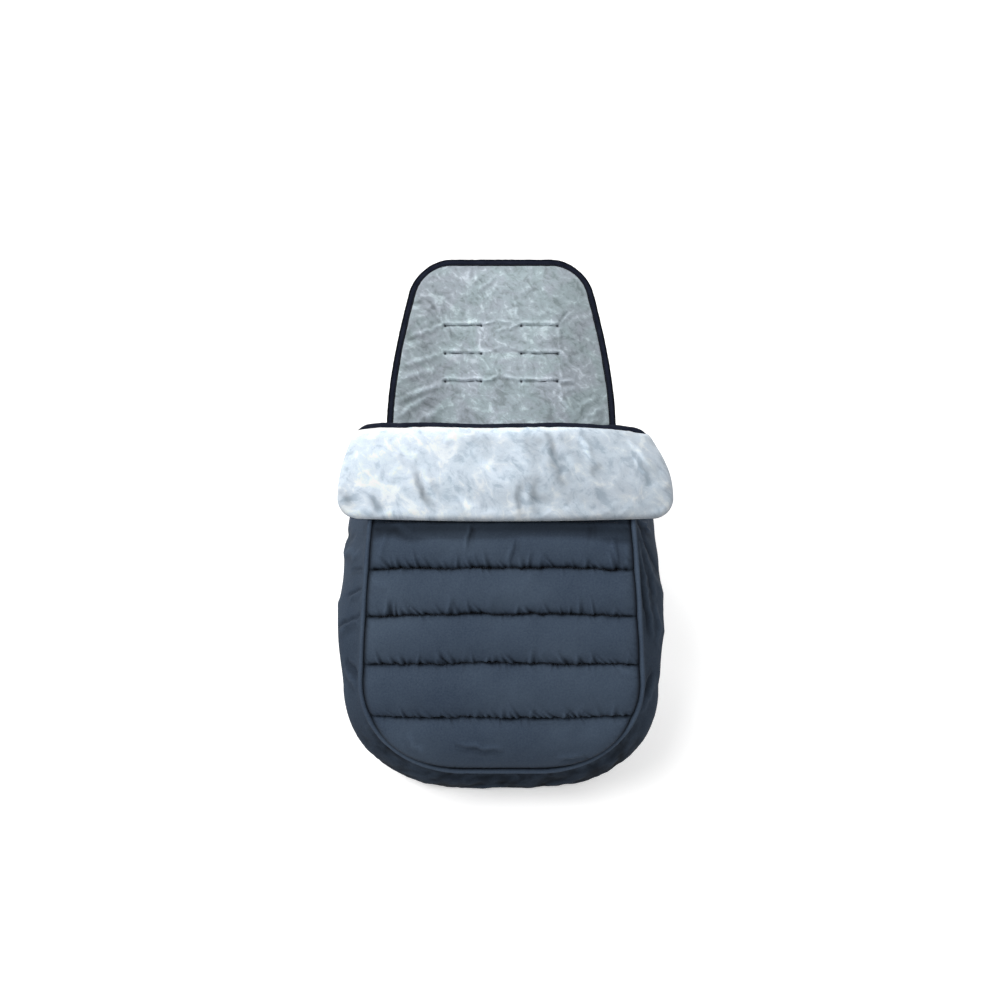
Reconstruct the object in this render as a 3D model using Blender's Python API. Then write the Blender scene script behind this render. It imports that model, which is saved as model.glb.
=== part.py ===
"""Padded sleeping bag for a stroller seat, in the bent shape that the seat gives it.

Metres, +Z up. X runs across the seat and -Y points to the toes. The origin is the
middle of the seat panel's underside. A pad lies on the backrest, the seat and the leg
rest, a gusset stands up from its edges, and a quilted apron with a turned-over cuff
closes the top. A zip under the apron's piping joins the apron to the gusset.
"""

import math

import bmesh
import bpy
import numpy as np
from mathutils import Matrix

# The gap left between neighbours, and the overrun of a cutter
CLEARANCE = 0.0003
OVERRUN = 0.004

# Pad, measured on its underside
BACKREST_LENGTH = 0.451
SEAT_LENGTH = 0.260
LEG_LENGTH = 0.172
BACKREST_SLOPE = math.radians(48)
LEG_SLOPE = math.radians(61)
BIGHT_RADIUS = 0.045
KNEE_RADIUS = 0.040
PAD_TOP_HALF_WIDTH = 0.138
PAD_HALF_WIDTH = 0.190
PAD_FLARE_LENGTH = 0.300
PAD_TOP_CORNER_RADIUS = 0.055
PAD_TOE_CORNER_RADIUS = 0.095
PAD_EDGE_THICKNESS = 0.009
PAD_THICKNESS = 0.018
PAD_ROLL = 0.040
PAD_EDGE_FLAT = 0.018
PAD_ROLL_COLUMN = 0.036
WADDING_SEAM_GAP = 0.002

# Fabric layers
SHELL_THICKNESS = 0.0012
LINING_THICKNESS = 0.0030
BINDING_THICKNESS = 0.0010
BINDING_WIDTH = 0.012

# Harness slots, with places measured on the plush face
SLOT_LENGTH = 0.060
SLOT_CLEAR_HEIGHT = 0.0080
SLOT_STITCH_WIDTH = 0.0012
SLOT_STITCH_PROUD = 0.0005
SLOT_INNER_GAP = 0.066
FIRST_SLOT_ROW = 0.1125
SLOT_ROW_PITCH = 0.0465
SLOT_ROWS = 3
CROTCH_SLOT_LENGTH = 0.050
CROTCH_SLOT_AHEAD = 0.050
WAIST_SLOT_LENGTH = 0.050
WAIST_SLOT_BEHIND = 0.050
WAIST_SLOT_OUT = 0.120

# Apron, an arc seen from the side
APRON_RADIUS = 0.497
APRON_CENTRE_Y = 0.200
APRON_CENTRE_Z = -0.200
APRON_TOP_ANGLE = math.radians(109.7)
APRON_LENGTH = 0.4937
APRON_MIDDLE_HALF_WIDTH = 0.187
APRON_TAPER_SLOPE = 0.056
APRON_CORNER_RADIUS = 0.140
APRON_EDGE_THICKNESS = 0.010
APRON_CROWN = 0.012
APRON_HEM = 0.012
APRON_EDGE_INSET = 0.0055
QUILT_PUFF = 0.012
QUILT_PUFF_UNDER_CUFF = 0.003
QUILT_ROLL = 0.030
QUILT_SEAM_SHARES = (0.145, 0.273, 0.404, 0.532, 0.665, 0.813)
QUILT_PUFF_POWER = 0.7

# Piping
PIPING_RADIUS = 0.0036
PIPING_CORD_RADIUS = 0.0022
PIPING_FABRIC = 0.0008
PIPING_INSET = 0.0010

# Zip
ZIP_DEPTH = 0.0150
ZIP_SLIT = 0.0016
ZIP_START = 0.001
COIL_START = 0.006
COIL_WIDTH = 0.0024
COIL_THICKNESS = 0.0022
TAPE_THICKNESS = 0.0008
APRON_TAPE_TOP_DEPTH = 0.0037
GUSSET_TAPE_BOTTOM_DEPTH = 0.0265
APRON_HINGE_OUT = 0.0013
ZIP_STOP_LENGTH = 0.004
ZIP_STOP_PROUD = 0.0002

# Gusset
GUSSET_THICKNESS = 0.012
GUSSET_EDGE_DEPTH = 0.0205
GUSSET_WADDING_SETBACK = 0.016
GUSSET_BULGE = 0.052
GUSSET_PLACES = (0, 0.25, 0.45, 0.7, 1, 1.5, 2, 3)
GUSSET_BULGE_SHARES = (0.42, 0.735, 0.77, 0.75, 0.50, 0.58, 0.75, 0.76)
GUSSET_START_ABOVE_BIGHT = 0.100

# Cuff
CUFF_START = 0.002
CUFF_LENGTH = 0.135
CUFF_CORNER_RISE = 0.020
CUFF_TOP_HALF_WIDTH = 0.205
CUFF_HALF_WIDTH = 0.235
CUFF_TOP_CORNER_RADIUS = 0.018
CUFF_LOW_CORNER_RADIUS = 0.034
CUFF_LIFT = 0.0035
CUFF_SEAM_WIDTH = 0.020
CUFF_END_RISE_WIDTH = 0.030
CUFF_EDGE_THICKNESS = 0.010
CUFF_THICKNESS = 0.030
CUFF_ROLL = 0.030
CUFF_PLUSH_THICKNESS = 0.004
CUFF_HINGE_BEFORE = 0.0035
CUFF_HINGE_HEIGHT = 0.003

# Slider and pull tab
SLIDER_LENGTH = 0.012
SLIDER_WIDTH = 0.0087
SLIDER_START = 0.006
SLIDER_PLATE = 0.0012
SLIDER_PLAY = 0.0005
SLIDER_WEB = 0.0007
SLIDER_FLANGE = 0.0007
BAIL_SPAN = 0.0060
BAIL_BAR = 0.0012
BAIL_CLEAR_HEIGHT = 0.0022
BAIL_WIDTH = 0.0030
TAB_PIN = 0.0010
TAB_WINDOW = 0.0050
TAB_LENGTH = 0.026
TAB_WIDTH = 0.0068
TAB_THICKNESS = 0.0010

# Counts of steps along each curve
SIDE_STEPS = 10
CORNER_STEPS = 6
TOE_STEPS = 2
PIPING_SIDES = 7
CORD_SIDES = 6

# Columns across a panel and rows down the cuff, as shares of their extent
PANEL_COLUMN_SHARES = (-1, -0.93, -0.8, -0.42, 0, 0.42, 0.8, 0.93, 1)
PAD_MIDDLE_SHARES = (-0.5, 0, 0.5)
GUSSET_BINDING_SHARE = 0.042
ARMHOLE_BINDING_START_SHARE = 0.45
CUFF_COLUMN_SHARES = (-1, -0.97, -0.89, -0.7, -0.35, 0, 0.35, 0.7, 0.89, 0.97, 1)
CUFF_ROW_SHARES = (0, 0.04, 0.13, 0.27, 0.5, 0.73, 0.87, 0.96, 1)
WALL_SHARES = (0, 0.15, 0.35, 0.58, 0.8, 1)
QUILT_STEP_SHARES = (0, 0.2, 0.5, 0.8)

# Pad rows between bends
BACKREST_STEPS = 7
SEAT_STEPS = 5
LEG_STEPS = 2
BEND_STEPS = 4
PAD_CORNER_STEPS = 4


def clear_scene():
    for obj in list(bpy.data.objects):
        bpy.data.objects.remove(obj, do_unlink=True)


def make_material(name, colour, roughness, metallic=0.0):
    material = bpy.data.materials.new(name)
    material.use_nodes = True
    shader = material.node_tree.nodes["Principled BSDF"]
    shader.inputs["Base Color"].default_value = (*colour, 1)
    shader.inputs["Roughness"].default_value = roughness
    shader.inputs["Metallic"].default_value = metallic
    return material


def make_object(name, points, faces, material):
    """A mesh object from points and faces, with every face turned to look out."""
    mesh = bpy.data.meshes.new(name)
    body = bmesh.new()
    corners = [body.verts.new(point) for point in points]
    for face in faces:
        body.faces.new([corners[index] for index in face])
    bmesh.ops.recalc_face_normals(body, faces=body.faces)
    if body.calc_volume(signed=True) < 0:
        bmesh.ops.reverse_faces(body, faces=body.faces)
    body.to_mesh(mesh)
    body.free()
    mesh.shade_smooth()
    mesh.set_sharp_from_angle(angle=math.radians(40))
    mesh.materials.append(material)
    obj = bpy.data.objects.new(name, mesh)
    bpy.context.scene.collection.objects.link(obj)
    return obj


def grid_faces(rows, columns, start, flip):
    """Triangles of a grid, each cell split along the same diagonal."""
    faces = []
    for row in range(rows - 1):
        for column in range(columns - 1):
            a = start + row * columns + column
            b = a + 1
            c = a + columns + 1
            d = a + columns
            pair = [(a, b, c), (a, c, d)]
            faces += [face[::-1] for face in pair] if flip else pair
    return faces


def slab(name, lower, upper, material):
    """A closed layer between two grids of points with as many rows and columns."""
    rows, columns = lower.shape[:2]
    count = rows * columns
    faces = grid_faces(rows, columns, 0, True) + grid_faces(rows, columns, count, False)
    rim = [column for column in range(columns)]
    rim += [row * columns + columns - 1 for row in range(1, rows)]
    rim += [(rows - 1) * columns + column for column in range(columns - 2, -1, -1)]
    rim += [row * columns for row in range(rows - 2, 0, -1)]
    for here, after in zip(rim, rim[1:] + rim[:1]):
        faces.append((here, after, after + count))
        faces.append((here, after + count, here + count))
    points = np.concatenate([lower.reshape(-1, 3), upper.reshape(-1, 3)])
    return make_object(name, points.tolist(), faces, material)


def sweep(name, frames, section, material):
    """A closed bar: a section of (a, b) places carried along frames of (point, a, b)."""
    obj = loft(name, rings_of(frames, section), material)
    triangulate(obj)
    return obj


def bar(name, frames, section, material):
    """A straight sweep, with its faces left whole."""
    return loft(name, rings_of(frames, section), material)


def rings_of(frames, section):
    rings = []
    for origin, along_a, along_b in frames:
        rings.append([origin + a * along_a + b * along_b for a, b in section])
    return rings


def loft(name, rings, material, turned=()):
    """A closed bar through rings that have as many points each.

    turned holds the sides of the ring whose faces are split along their other diagonal.
    """
    points = [point for ring in rings for point in ring]
    size = len(rings[0])
    faces = []
    for ring in range(len(rings) - 1):
        for corner in range(size):
            here = ring * size + corner
            after = ring * size + (corner + 1) % size
            if corner in turned:
                faces.append((after, after + size, here + size, here))
            else:
                faces.append((here, after, after + size, here + size))
    faces.append(tuple(range(size)))
    last = (len(rings) - 1) * size
    faces.append(tuple(last + corner for corner in range(size - 1, -1, -1)))
    points = [point.tolist() for point in points]
    return make_object(name, points, faces, material)


def triangulate(obj):
    """Split every face in one fixed way, so that a twisted face is the same each time."""
    body = bmesh.new()
    body.from_mesh(obj.data)
    bmesh.ops.triangulate(body, faces=body.faces, quad_method="FIXED", ngon_method="EAR_CLIP")
    body.to_mesh(obj.data)
    body.free()


def ease(share):
    """0 to 1 with flat ends."""
    share = min(max(share, 0), 1)
    return share * share * (3 - 2 * share)


def round_over(share):
    """0 to 1 along a quarter of a circle, steep at 0 and flat at 1."""
    share = min(max(share, 0), 1)
    return math.sqrt(1 - (1 - share) ** 2)


def corner_loss(distance, radius):
    """How far a round corner draws a side in, at a distance from the end."""
    if distance >= radius:
        return 0
    return radius - math.sqrt(radius**2 - (radius - max(distance, 0)) ** 2)


def steps_between(start, end, count):
    """Places from start to just before end."""
    return [start + (end - start) * step / count for step in range(count)]


def unit(vector):
    return vector / np.linalg.norm(vector)


def box_section(a_low, a_high, b_low, b_high):
    return [(a_low, b_low), (a_high, b_low), (a_high, b_high), (a_low, b_high)]


def binding_section(thickness):
    """A tape folded over an edge: a points out of the edge, b from 0 to its thickness."""
    near = CLEARANCE
    far = CLEARANCE + BINDING_THICKNESS
    inner = near - BINDING_WIDTH
    return [
        (inner, -near),
        (near, -near),
        (near, thickness + near),
        (inner, thickness + near),
        (inner, thickness + far),
        (far, thickness + far),
        (far, -far),
        (inner, -far),
    ]


# The pad's underside as stretches of (length, slope at its start, turn per metre)


def pad_stretches():
    bight_cut = BIGHT_RADIUS * math.tan(BACKREST_SLOPE / 2)
    knee_cut = KNEE_RADIUS * math.tan(LEG_SLOPE / 2)
    return [
        (BACKREST_LENGTH - bight_cut, BACKREST_SLOPE, 0),
        (BIGHT_RADIUS * BACKREST_SLOPE, BACKREST_SLOPE, -1 / BIGHT_RADIUS),
        (SEAT_LENGTH - bight_cut - knee_cut, 0, 0),
        (KNEE_RADIUS * LEG_SLOPE, 0, 1 / KNEE_RADIUS),
        (LEG_LENGTH - knee_cut, LEG_SLOPE, 0),
    ]


STRETCHES = pad_stretches()
PAD_LENGTH = sum(stretch[0] for stretch in STRETCHES)
BIGHT_START = STRETCHES[0][0]
SEAT_START = BIGHT_START + STRETCHES[1][0]
KNEE_START = SEAT_START + STRETCHES[2][0]
LEG_START = KNEE_START + STRETCHES[3][0]
SEAT_MIDDLE = SEAT_START + SEAT_LENGTH / 2 - BIGHT_RADIUS * math.tan(BACKREST_SLOPE / 2)
GUSSET_START = BACKREST_LENGTH - GUSSET_START_ABOVE_BIGHT


def pad_frame(down):
    """(y, z, slope) on the underside, at a distance down from the top edge."""
    y = SEAT_LENGTH / 2 + BACKREST_LENGTH * math.cos(BACKREST_SLOPE)
    z = BACKREST_LENGTH * math.sin(BACKREST_SLOPE)
    left = down
    for index, (length, slope, turn) in enumerate(STRETCHES):
        last = index == len(STRETCHES) - 1
        run = left if last else min(left, length)
        if turn:
            after = slope + turn * run
            y -= (math.sin(after) - math.sin(slope)) / turn
            z += (math.cos(after) - math.cos(slope)) / turn
            slope = after
        else:
            y -= run * math.cos(slope)
            z -= run * math.sin(slope)
        left -= run
        if left <= 0:
            break
    return y, z, slope


def pad_point(x, down, height):
    """A point in the pad: x across, down from the top edge, height above the underside."""
    y, z, slope = pad_frame(down)
    return np.array([x, y - height * math.sin(slope), z + height * math.cos(slope)])


def pad_side(down):
    """Half the pad's width before its corners are rounded."""
    flare = math.sin(math.pi / 2 * min(max(down, 0) / PAD_FLARE_LENGTH, 1))
    return PAD_TOP_HALF_WIDTH + (PAD_HALF_WIDTH - PAD_TOP_HALF_WIDTH) * flare


def pad_half_width(down):
    top = corner_loss(down, PAD_TOP_CORNER_RADIUS)
    toe = corner_loss(PAD_LENGTH - down, PAD_TOE_CORNER_RADIUS)
    return pad_side(down) - top - toe


def corner_distance(side, end, radius):
    """How far a place is from the outline of a round corner, from its distances inside."""
    if side < radius and end < radius:
        return radius - math.hypot(radius - side, radius - end)
    return min(side, end)


def pad_thickness(x, down):
    """The pad's edge is flat where it is bound, and thickens from there."""
    side = pad_side(down) - abs(x)
    top = corner_distance(side, down, PAD_TOP_CORNER_RADIUS)
    toe = corner_distance(side, PAD_LENGTH - down, PAD_TOE_CORNER_RADIUS)
    swell = ease((min(top, toe) - PAD_EDGE_FLAT) / PAD_ROLL)
    return PAD_EDGE_THICKNESS + (PAD_THICKNESS - PAD_EDGE_THICKNESS) * swell


def pad_columns(down):
    """Places across the pad: at its edge, inside its binding, and over its roll."""
    half = pad_half_width(down)
    right = [half - PAD_ROLL_COLUMN, half - PAD_EDGE_FLAT, half]
    middle = [share * right[0] for share in PAD_MIDDLE_SHARES]
    return [-x for x in right[::-1]] + middle + right


def turned_rows(radius, steps):
    """Distances from an end at equal turns round its corner, without the last."""
    return [radius * (1 - math.cos(math.pi / 2 * step / steps)) for step in range(steps)]


def pad_rows():
    top = turned_rows(PAD_TOP_CORNER_RADIUS, PAD_CORNER_STEPS)
    toe = [PAD_LENGTH - row for row in turned_rows(PAD_TOE_CORNER_RADIUS, CORNER_STEPS)]
    toe_start = PAD_LENGTH - PAD_TOE_CORNER_RADIUS
    rows = top
    rows += steps_between(PAD_TOP_CORNER_RADIUS, BIGHT_START, BACKREST_STEPS)
    rows += steps_between(BIGHT_START, SEAT_START, BEND_STEPS)
    rows += steps_between(SEAT_START, KNEE_START, SEAT_STEPS)
    rows += steps_between(KNEE_START, LEG_START, BEND_STEPS)
    rows += steps_between(LEG_START, toe_start, LEG_STEPS)
    rows += [toe_start] + toe[::-1]
    return rows


def rows_within(rows, start, end):
    return [start] + [row for row in rows if start < row < end] + [end]


def pad_layer(name, rows, low, high, material):
    """A layer of the pad between two heights, each a function of x and the distance down."""
    grids = []
    for height in (low, high):
        grid = []
        for down in rows:
            places = pad_columns(down)
            grid.append([pad_point(x, down, height(x, down)) for x in places])
        grids.append(np.array(grid))
    return slab(name, grids[0], grids[1], material)


def wadding_low(x, down):
    return SHELL_THICKNESS + CLEARANCE


def wadding_high(x, down):
    return pad_thickness(x, down) - LINING_THICKNESS - CLEARANCE


def make_pad(fabric, wadding, plush):
    """The pad's shell, its three wadding panels and its plush lining."""
    rows = pad_rows()
    bight_seam = (BIGHT_START + SEAT_START) / 2
    knee_seam = (KNEE_START + LEG_START) / 2
    gap = WADDING_SEAM_GAP / 2
    shell = pad_layer(
        "back_outer_shell",
        rows,
        lambda x, down: 0,
        lambda x, down: SHELL_THICKNESS,
        fabric,
    )
    backrest = pad_layer(
        "backrest_wadding",
        rows_within(rows, 0, bight_seam - gap),
        wadding_low,
        wadding_high,
        wadding,
    )
    seat = pad_layer(
        "seat_wadding",
        rows_within(rows, bight_seam + gap, knee_seam - gap),
        wadding_low,
        wadding_high,
        wadding,
    )
    pad_layer(
        "leg_wadding",
        rows_within(rows, knee_seam + gap, PAD_LENGTH),
        wadding_low,
        wadding_high,
        wadding,
    )
    lining = pad_layer(
        "back_plush_lining",
        rows,
        lambda x, down: pad_thickness(x, down) - LINING_THICKNESS,
        pad_thickness,
        plush,
    )
    return shell, backrest, seat, lining


# Harness slots


def harness_slots():
    """(name, x, down, length across, length down the pad) of each slot, on the backrest."""
    slots = []
    out = (SLOT_INNER_GAP + SLOT_LENGTH) / 2
    for row in range(SLOT_ROWS):
        down = FIRST_SLOT_ROW + row * SLOT_ROW_PITCH
        for side, x in (("left", -out), ("right", out)):
            name = f"harness_slot_stitching_{side}_{row + 1}"
            slots.append((name, x, down, SLOT_LENGTH, SLOT_CLEAR_HEIGHT))
    return slots


def seat_slots():
    """The crotch strap's slot and the two waist straps' slots, in the seat panel."""
    crotch = SEAT_MIDDLE + CROTCH_SLOT_AHEAD
    waist = SEAT_MIDDLE - WAIST_SLOT_BEHIND
    height = SLOT_CLEAR_HEIGHT
    return [
        ("crotch_slot_stitching", 0, crotch, CROTCH_SLOT_LENGTH, height),
        ("waist_slot_stitching_left", -WAIST_SLOT_OUT, waist, height, WAIST_SLOT_LENGTH),
        ("waist_slot_stitching_right", WAIST_SLOT_OUT, waist, height, WAIST_SLOT_LENGTH),
    ]


def slot_ring(x, down, across, along, grow, height):
    """Four corners of a slot at a height in the pad. A slot in the backrest runs level."""
    slope = pad_frame(down)[2]
    drift = (PAD_THICKNESS - height) / math.tan(slope) if slope else 0
    half_across = across / 2 + grow
    half_along = along / 2 + grow
    middle = down - drift
    signs = ((-1, -1), (1, -1), (1, 1), (-1, 1))
    return [
        pad_point(x + a * half_across, middle + b * half_along, height) for a, b in signs
    ]


def make_slot_cutter(slots):
    """One cutter for all slots: a closed prism for each, through the whole pad."""
    points = []
    faces = []
    grow = SLOT_STITCH_WIDTH + CLEARANCE
    for _, x, down, across, along in slots:
        start = len(points)
        points += slot_ring(x, down, across, along, grow, -OVERRUN)
        points += slot_ring(x, down, across, along, grow, PAD_THICKNESS + OVERRUN)
        faces.append(tuple(start + i for i in (3, 2, 1, 0)))
        faces.append(tuple(start + i for i in (4, 5, 6, 7)))
        for i in range(4):
            after = (i + 1) % 4
            faces.append((start + i, start + after, start + after + 4, start + i + 4))
    cutter = make_object("slot_cutter", points, faces, make_material("cutter", (1, 1, 1), 1))
    cutter.hide_render = True
    cutter.display_type = "WIRE"
    return cutter


def make_slot_stitching(slot, thread):
    """The sewn edge of one slot: a sleeve from the pad's underside to just above its plush."""
    name, x, down, across, along = slot
    low = 0
    high = PAD_THICKNESS + SLOT_STITCH_PROUD
    points = []
    for height in (low, high):
        points += slot_ring(x, down, across, along, SLOT_STITCH_WIDTH, height)
        points += slot_ring(x, down, across, along, 0, height)
    faces = []
    for i in range(4):
        after = (i + 1) % 4
        faces.append((i, after, after + 8, i + 8))
        faces.append((i + 4, i + 12, after + 12, after + 4))
        faces.append((i, i + 4, after + 4, after))
        faces.append((i + 8, after + 8, after + 12, i + 12))
    return make_object(name, points, faces, thread)


def cut(obj, cutter):
    modifier = obj.modifiers.new("slots", "BOOLEAN")
    modifier.operation = "DIFFERENCE"
    modifier.object = cutter
    modifier.solver = "EXACT"


# Bindings


def pad_edge_places():
    """(x, down, outward x, outward down) up the left edge, over the top and down the right."""
    end = GUSSET_START - BINDING_THICKNESS - CLEARANCE * 4
    rows = rows_within(pad_rows(), 0, end)
    right = [(pad_half_width(down), down) for down in rows]
    left = [(-x, down) for x, down in right[::-1]]
    outline = left + [(0, 0)] + right
    places = []
    for index, (x, down) in enumerate(outline):
        before = outline[max(index - 1, 0)]
        after = outline[min(index + 1, len(outline) - 1)]
        run = (after[0] - before[0], after[1] - before[1])
        length = math.hypot(*run)
        places.append((x, down, run[1] / length, -run[0] / length))
    return places


def make_pad_binding(fabric):
    """The black tape folded over the pad's free edge."""
    frames = []
    for x, down, out_x, out_down in pad_edge_places():
        origin = pad_point(x, down, 0)
        slope = pad_frame(down)[2]
        down_way = np.array([0, -math.cos(slope), -math.sin(slope)])
        up = np.array([0, -math.sin(slope), math.cos(slope)])
        out = np.array([out_x, 0, 0]) + out_down * down_way
        frames.append((origin, out, up))
    return sweep("back_edge_binding", frames, binding_section(PAD_EDGE_THICKNESS), fabric)


# Joint axes


def apron_hinge():
    """A point on the line along the toe about which the apron folds down."""
    out = APRON_HINGE_OUT * apron_way_down(APRON_LENGTH)
    return apron_point(0, APRON_LENGTH, -ZIP_DEPTH) + out


def cuff_hinge():
    """A point on the line along the apron's top edge about which the cuff turns over."""
    return apron_point(0, -CUFF_HINGE_BEFORE, CUFF_HINGE_HEIGHT)


def place_origins(objects, origin):
    for obj in objects:
        obj.data.transform(Matrix.Translation((-origin).tolist()))
        obj.location = origin.tolist()


# Apron


def apron_angle(down):
    return APRON_TOP_ANGLE + down / APRON_RADIUS


def apron_point(x, down, height):
    """A point by the apron: x across, down from its top edge, height above its edge line."""
    angle = apron_angle(down)
    radius = APRON_RADIUS + height
    y = APRON_CENTRE_Y + radius * math.cos(angle)
    z = APRON_CENTRE_Z + radius * math.sin(angle)
    return np.array([x, y, z])


def apron_out(down):
    angle = apron_angle(down)
    return np.array([0, math.cos(angle), math.sin(angle)])


def apron_way_down(down):
    angle = apron_angle(down)
    return np.array([0, -math.sin(angle), math.cos(angle)])


APRON_TILT = math.atan(APRON_TAPER_SLOPE)
CORNER_CENTRE_DOWN = APRON_LENGTH - APRON_CORNER_RADIUS
SIDE_END = CORNER_CENTRE_DOWN - APRON_CORNER_RADIUS * math.sin(APRON_TILT)


def zip_line_x(down):
    """Half the width between the zips: it grows down the apron, in one tilted plane."""
    turn = (down - APRON_LENGTH / 2) / APRON_RADIUS
    run = (APRON_RADIUS - ZIP_DEPTH) * math.sin(turn)
    return APRON_MIDDLE_HALF_WIDTH + APRON_TAPER_SLOPE * run


CORNER_CENTRE_X = zip_line_x(SIDE_END) - APRON_CORNER_RADIUS * math.cos(APRON_TILT)


def zip_line(place):
    """(x, down, outward x, outward down) on the right half of the zip line.

    place runs from 0 at the top of the side to 1 at the corner, 2 at the corner's end
    and 3 at the middle of the toe.
    """
    if place <= 1:
        down = SIDE_END * place
        return zip_line_x(down), down, math.cos(APRON_TILT), -math.sin(APRON_TILT)
    if place <= 2:
        turn = -APRON_TILT + (math.pi / 2 + APRON_TILT) * (place - 1)
        x = CORNER_CENTRE_X + APRON_CORNER_RADIUS * math.cos(turn)
        down = CORNER_CENTRE_DOWN + APRON_CORNER_RADIUS * math.sin(turn)
        return x, down, math.cos(turn), math.sin(turn)
    return CORNER_CENTRE_X * (3 - place), APRON_LENGTH, 0, 1


def rim_frame(side, place):
    """(point on the zip line at the apron's edge height, way out, way up) at a place."""
    x, down, out_x, out_down = zip_line(place)
    out = np.array([side * out_x, 0, 0]) + out_down * apron_way_down(down)
    return apron_point(side * x, down, 0), out, apron_out(down)


def rim_places(start, side_steps):
    """(side, place) from the left top, round the toe, to the right top."""
    half = [start + (1 - start) * step / side_steps for step in range(side_steps)]
    half += [1 + step / CORNER_STEPS for step in range(CORNER_STEPS)]
    half += [2 + step / TOE_STEPS for step in range(TOE_STEPS)]
    left = [(-1, place) for place in half]
    return left + [(1, 3)] + [(1, place) for place in half[::-1]]


def rim_frames(start, side_steps=SIDE_STEPS):
    return [rim_frame(side, place) for side, place in rim_places(start, side_steps)]


def apron_half_width(down):
    """Half the width of the apron's panels, inside the piping."""
    radius = APRON_CORNER_RADIUS - APRON_EDGE_INSET
    if down <= SIDE_END:
        return zip_line_x(down) - APRON_EDGE_INSET
    drop = min(down - CORNER_CENTRE_DOWN, radius)
    return CORNER_CENTRE_X + math.sqrt(max(radius**2 - drop**2, 0))


def apron_rows():
    """Distances down the apron: finely over each quilted channel and round the corners."""
    seams = [APRON_LENGTH * share for share in QUILT_SEAM_SHARES]
    tops = [APRON_HEM] + seams
    rows = [0]
    for start, end in zip(tops, seams):
        rows += [start + (end - start) * share for share in QUILT_STEP_SHARES]
    reach = APRON_CORNER_RADIUS - APRON_EDGE_INSET
    rows.append(seams[-1])
    for step in range(1, CORNER_STEPS + 1):
        turn = (math.pi / 2 + APRON_TILT) * step / CORNER_STEPS - APRON_TILT
        row = CORNER_CENTRE_DOWN + reach * math.sin(turn)
        if row > seams[-1] + APRON_HEM / 2:
            rows.append(row)
    return rows


def apron_crown(x, down):
    """The apron stands higher in the middle than along its zips."""
    return APRON_CROWN * (1 - (x / zip_line_x(min(down, SIDE_END))) ** 2)


def quilt_puff(x, down):
    """How far a quilted channel stands above its seams."""
    seams = [APRON_LENGTH * share for share in QUILT_SEAM_SHARES]
    edges = [APRON_HEM] + seams + [APRON_LENGTH - APRON_EDGE_INSET]
    index = sum(down >= edge for edge in edges) - 1
    if index < 0 or index >= len(edges) - 1:
        return 0
    phase = (down - edges[index]) / (edges[index + 1] - edges[index])
    under_cuff = edges[index + 1] < CUFF_START + CUFF_LENGTH
    height = QUILT_PUFF_UNDER_CUFF if under_cuff else QUILT_PUFF
    swell = max(math.sin(math.pi * phase), 0) ** QUILT_PUFF_POWER
    inside = min(apron_half_width(down) - abs(x), APRON_LENGTH - APRON_EDGE_INSET - down)
    return height * swell * ease(inside / QUILT_ROLL)


def apron_face(x, down):
    return apron_crown(x, down) + quilt_puff(x, down)


def apron_layer(name, low, high, material):
    rows = apron_rows()
    grids = []
    for height in (low, high):
        grid = []
        for down in rows:
            half = apron_half_width(down)
            places = [share * half for share in PANEL_COLUMN_SHARES]
            grid.append([apron_point(x, down, height(x, down)) for x in places])
        grids.append(np.array(grid))
    return slab(name, grids[0], grids[1], material)


def make_apron(fabric, wadding, plush):
    """The quilted shell, its wadding and the plush lining."""
    depth = APRON_EDGE_THICKNESS
    shell = apron_layer(
        "apron_outer_shell",
        lambda x, down: apron_face(x, down) - SHELL_THICKNESS,
        apron_face,
        fabric,
    )
    filling = apron_layer(
        "apron_wadding",
        lambda x, down: apron_crown(x, down) - depth + LINING_THICKNESS + CLEARANCE,
        lambda x, down: apron_face(x, down) - SHELL_THICKNESS - CLEARANCE,
        wadding,
    )
    lining = apron_layer(
        "apron_plush_lining",
        lambda x, down: apron_crown(x, down) - depth,
        lambda x, down: apron_crown(x, down) - depth + LINING_THICKNESS,
        plush,
    )
    return [shell, filling, lining]


def make_apron_top_binding(fabric):
    """The tape folded over the apron's top edge."""
    half = apron_half_width(0)
    frames = []
    for share in PANEL_COLUMN_SHARES:
        x = share * half
        origin = apron_point(x, 0, apron_crown(x, 0) - APRON_EDGE_THICKNESS)
        frames.append((origin, -apron_way_down(0), apron_out(0)))
    section = binding_section(APRON_EDGE_THICKNESS)
    return sweep("apron_top_binding", frames, section, fabric)


def make_piping(fabric, cord):
    """The piping's fabric, wrapped round its cord and open along its inner side."""
    frames = rim_frames(0)
    sides = PIPING_SIDES
    opening = math.tau / sides
    outer = []
    inner = []
    for step in range(sides):
        turn = math.pi + opening / 2 + (math.tau - opening) * step / (sides - 1)
        a = math.cos(turn)
        b = math.sin(turn)
        outer.append((a * PIPING_RADIUS - PIPING_INSET, b * PIPING_RADIUS))
        hollow = PIPING_RADIUS - PIPING_FABRIC
        inner.append((a * hollow - PIPING_INSET, b * hollow))
    cover = sweep("apron_piping_cover", frames, outer + inner[::-1], fabric)
    core = []
    for step in range(CORD_SIDES):
        turn = math.tau * step / CORD_SIDES
        a = PIPING_CORD_RADIUS * math.cos(turn) - PIPING_INSET
        core.append((a, PIPING_CORD_RADIUS * math.sin(turn)))
    return [cover, sweep("apron_piping_cord", frames, core, cord)]


# Zip


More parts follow.
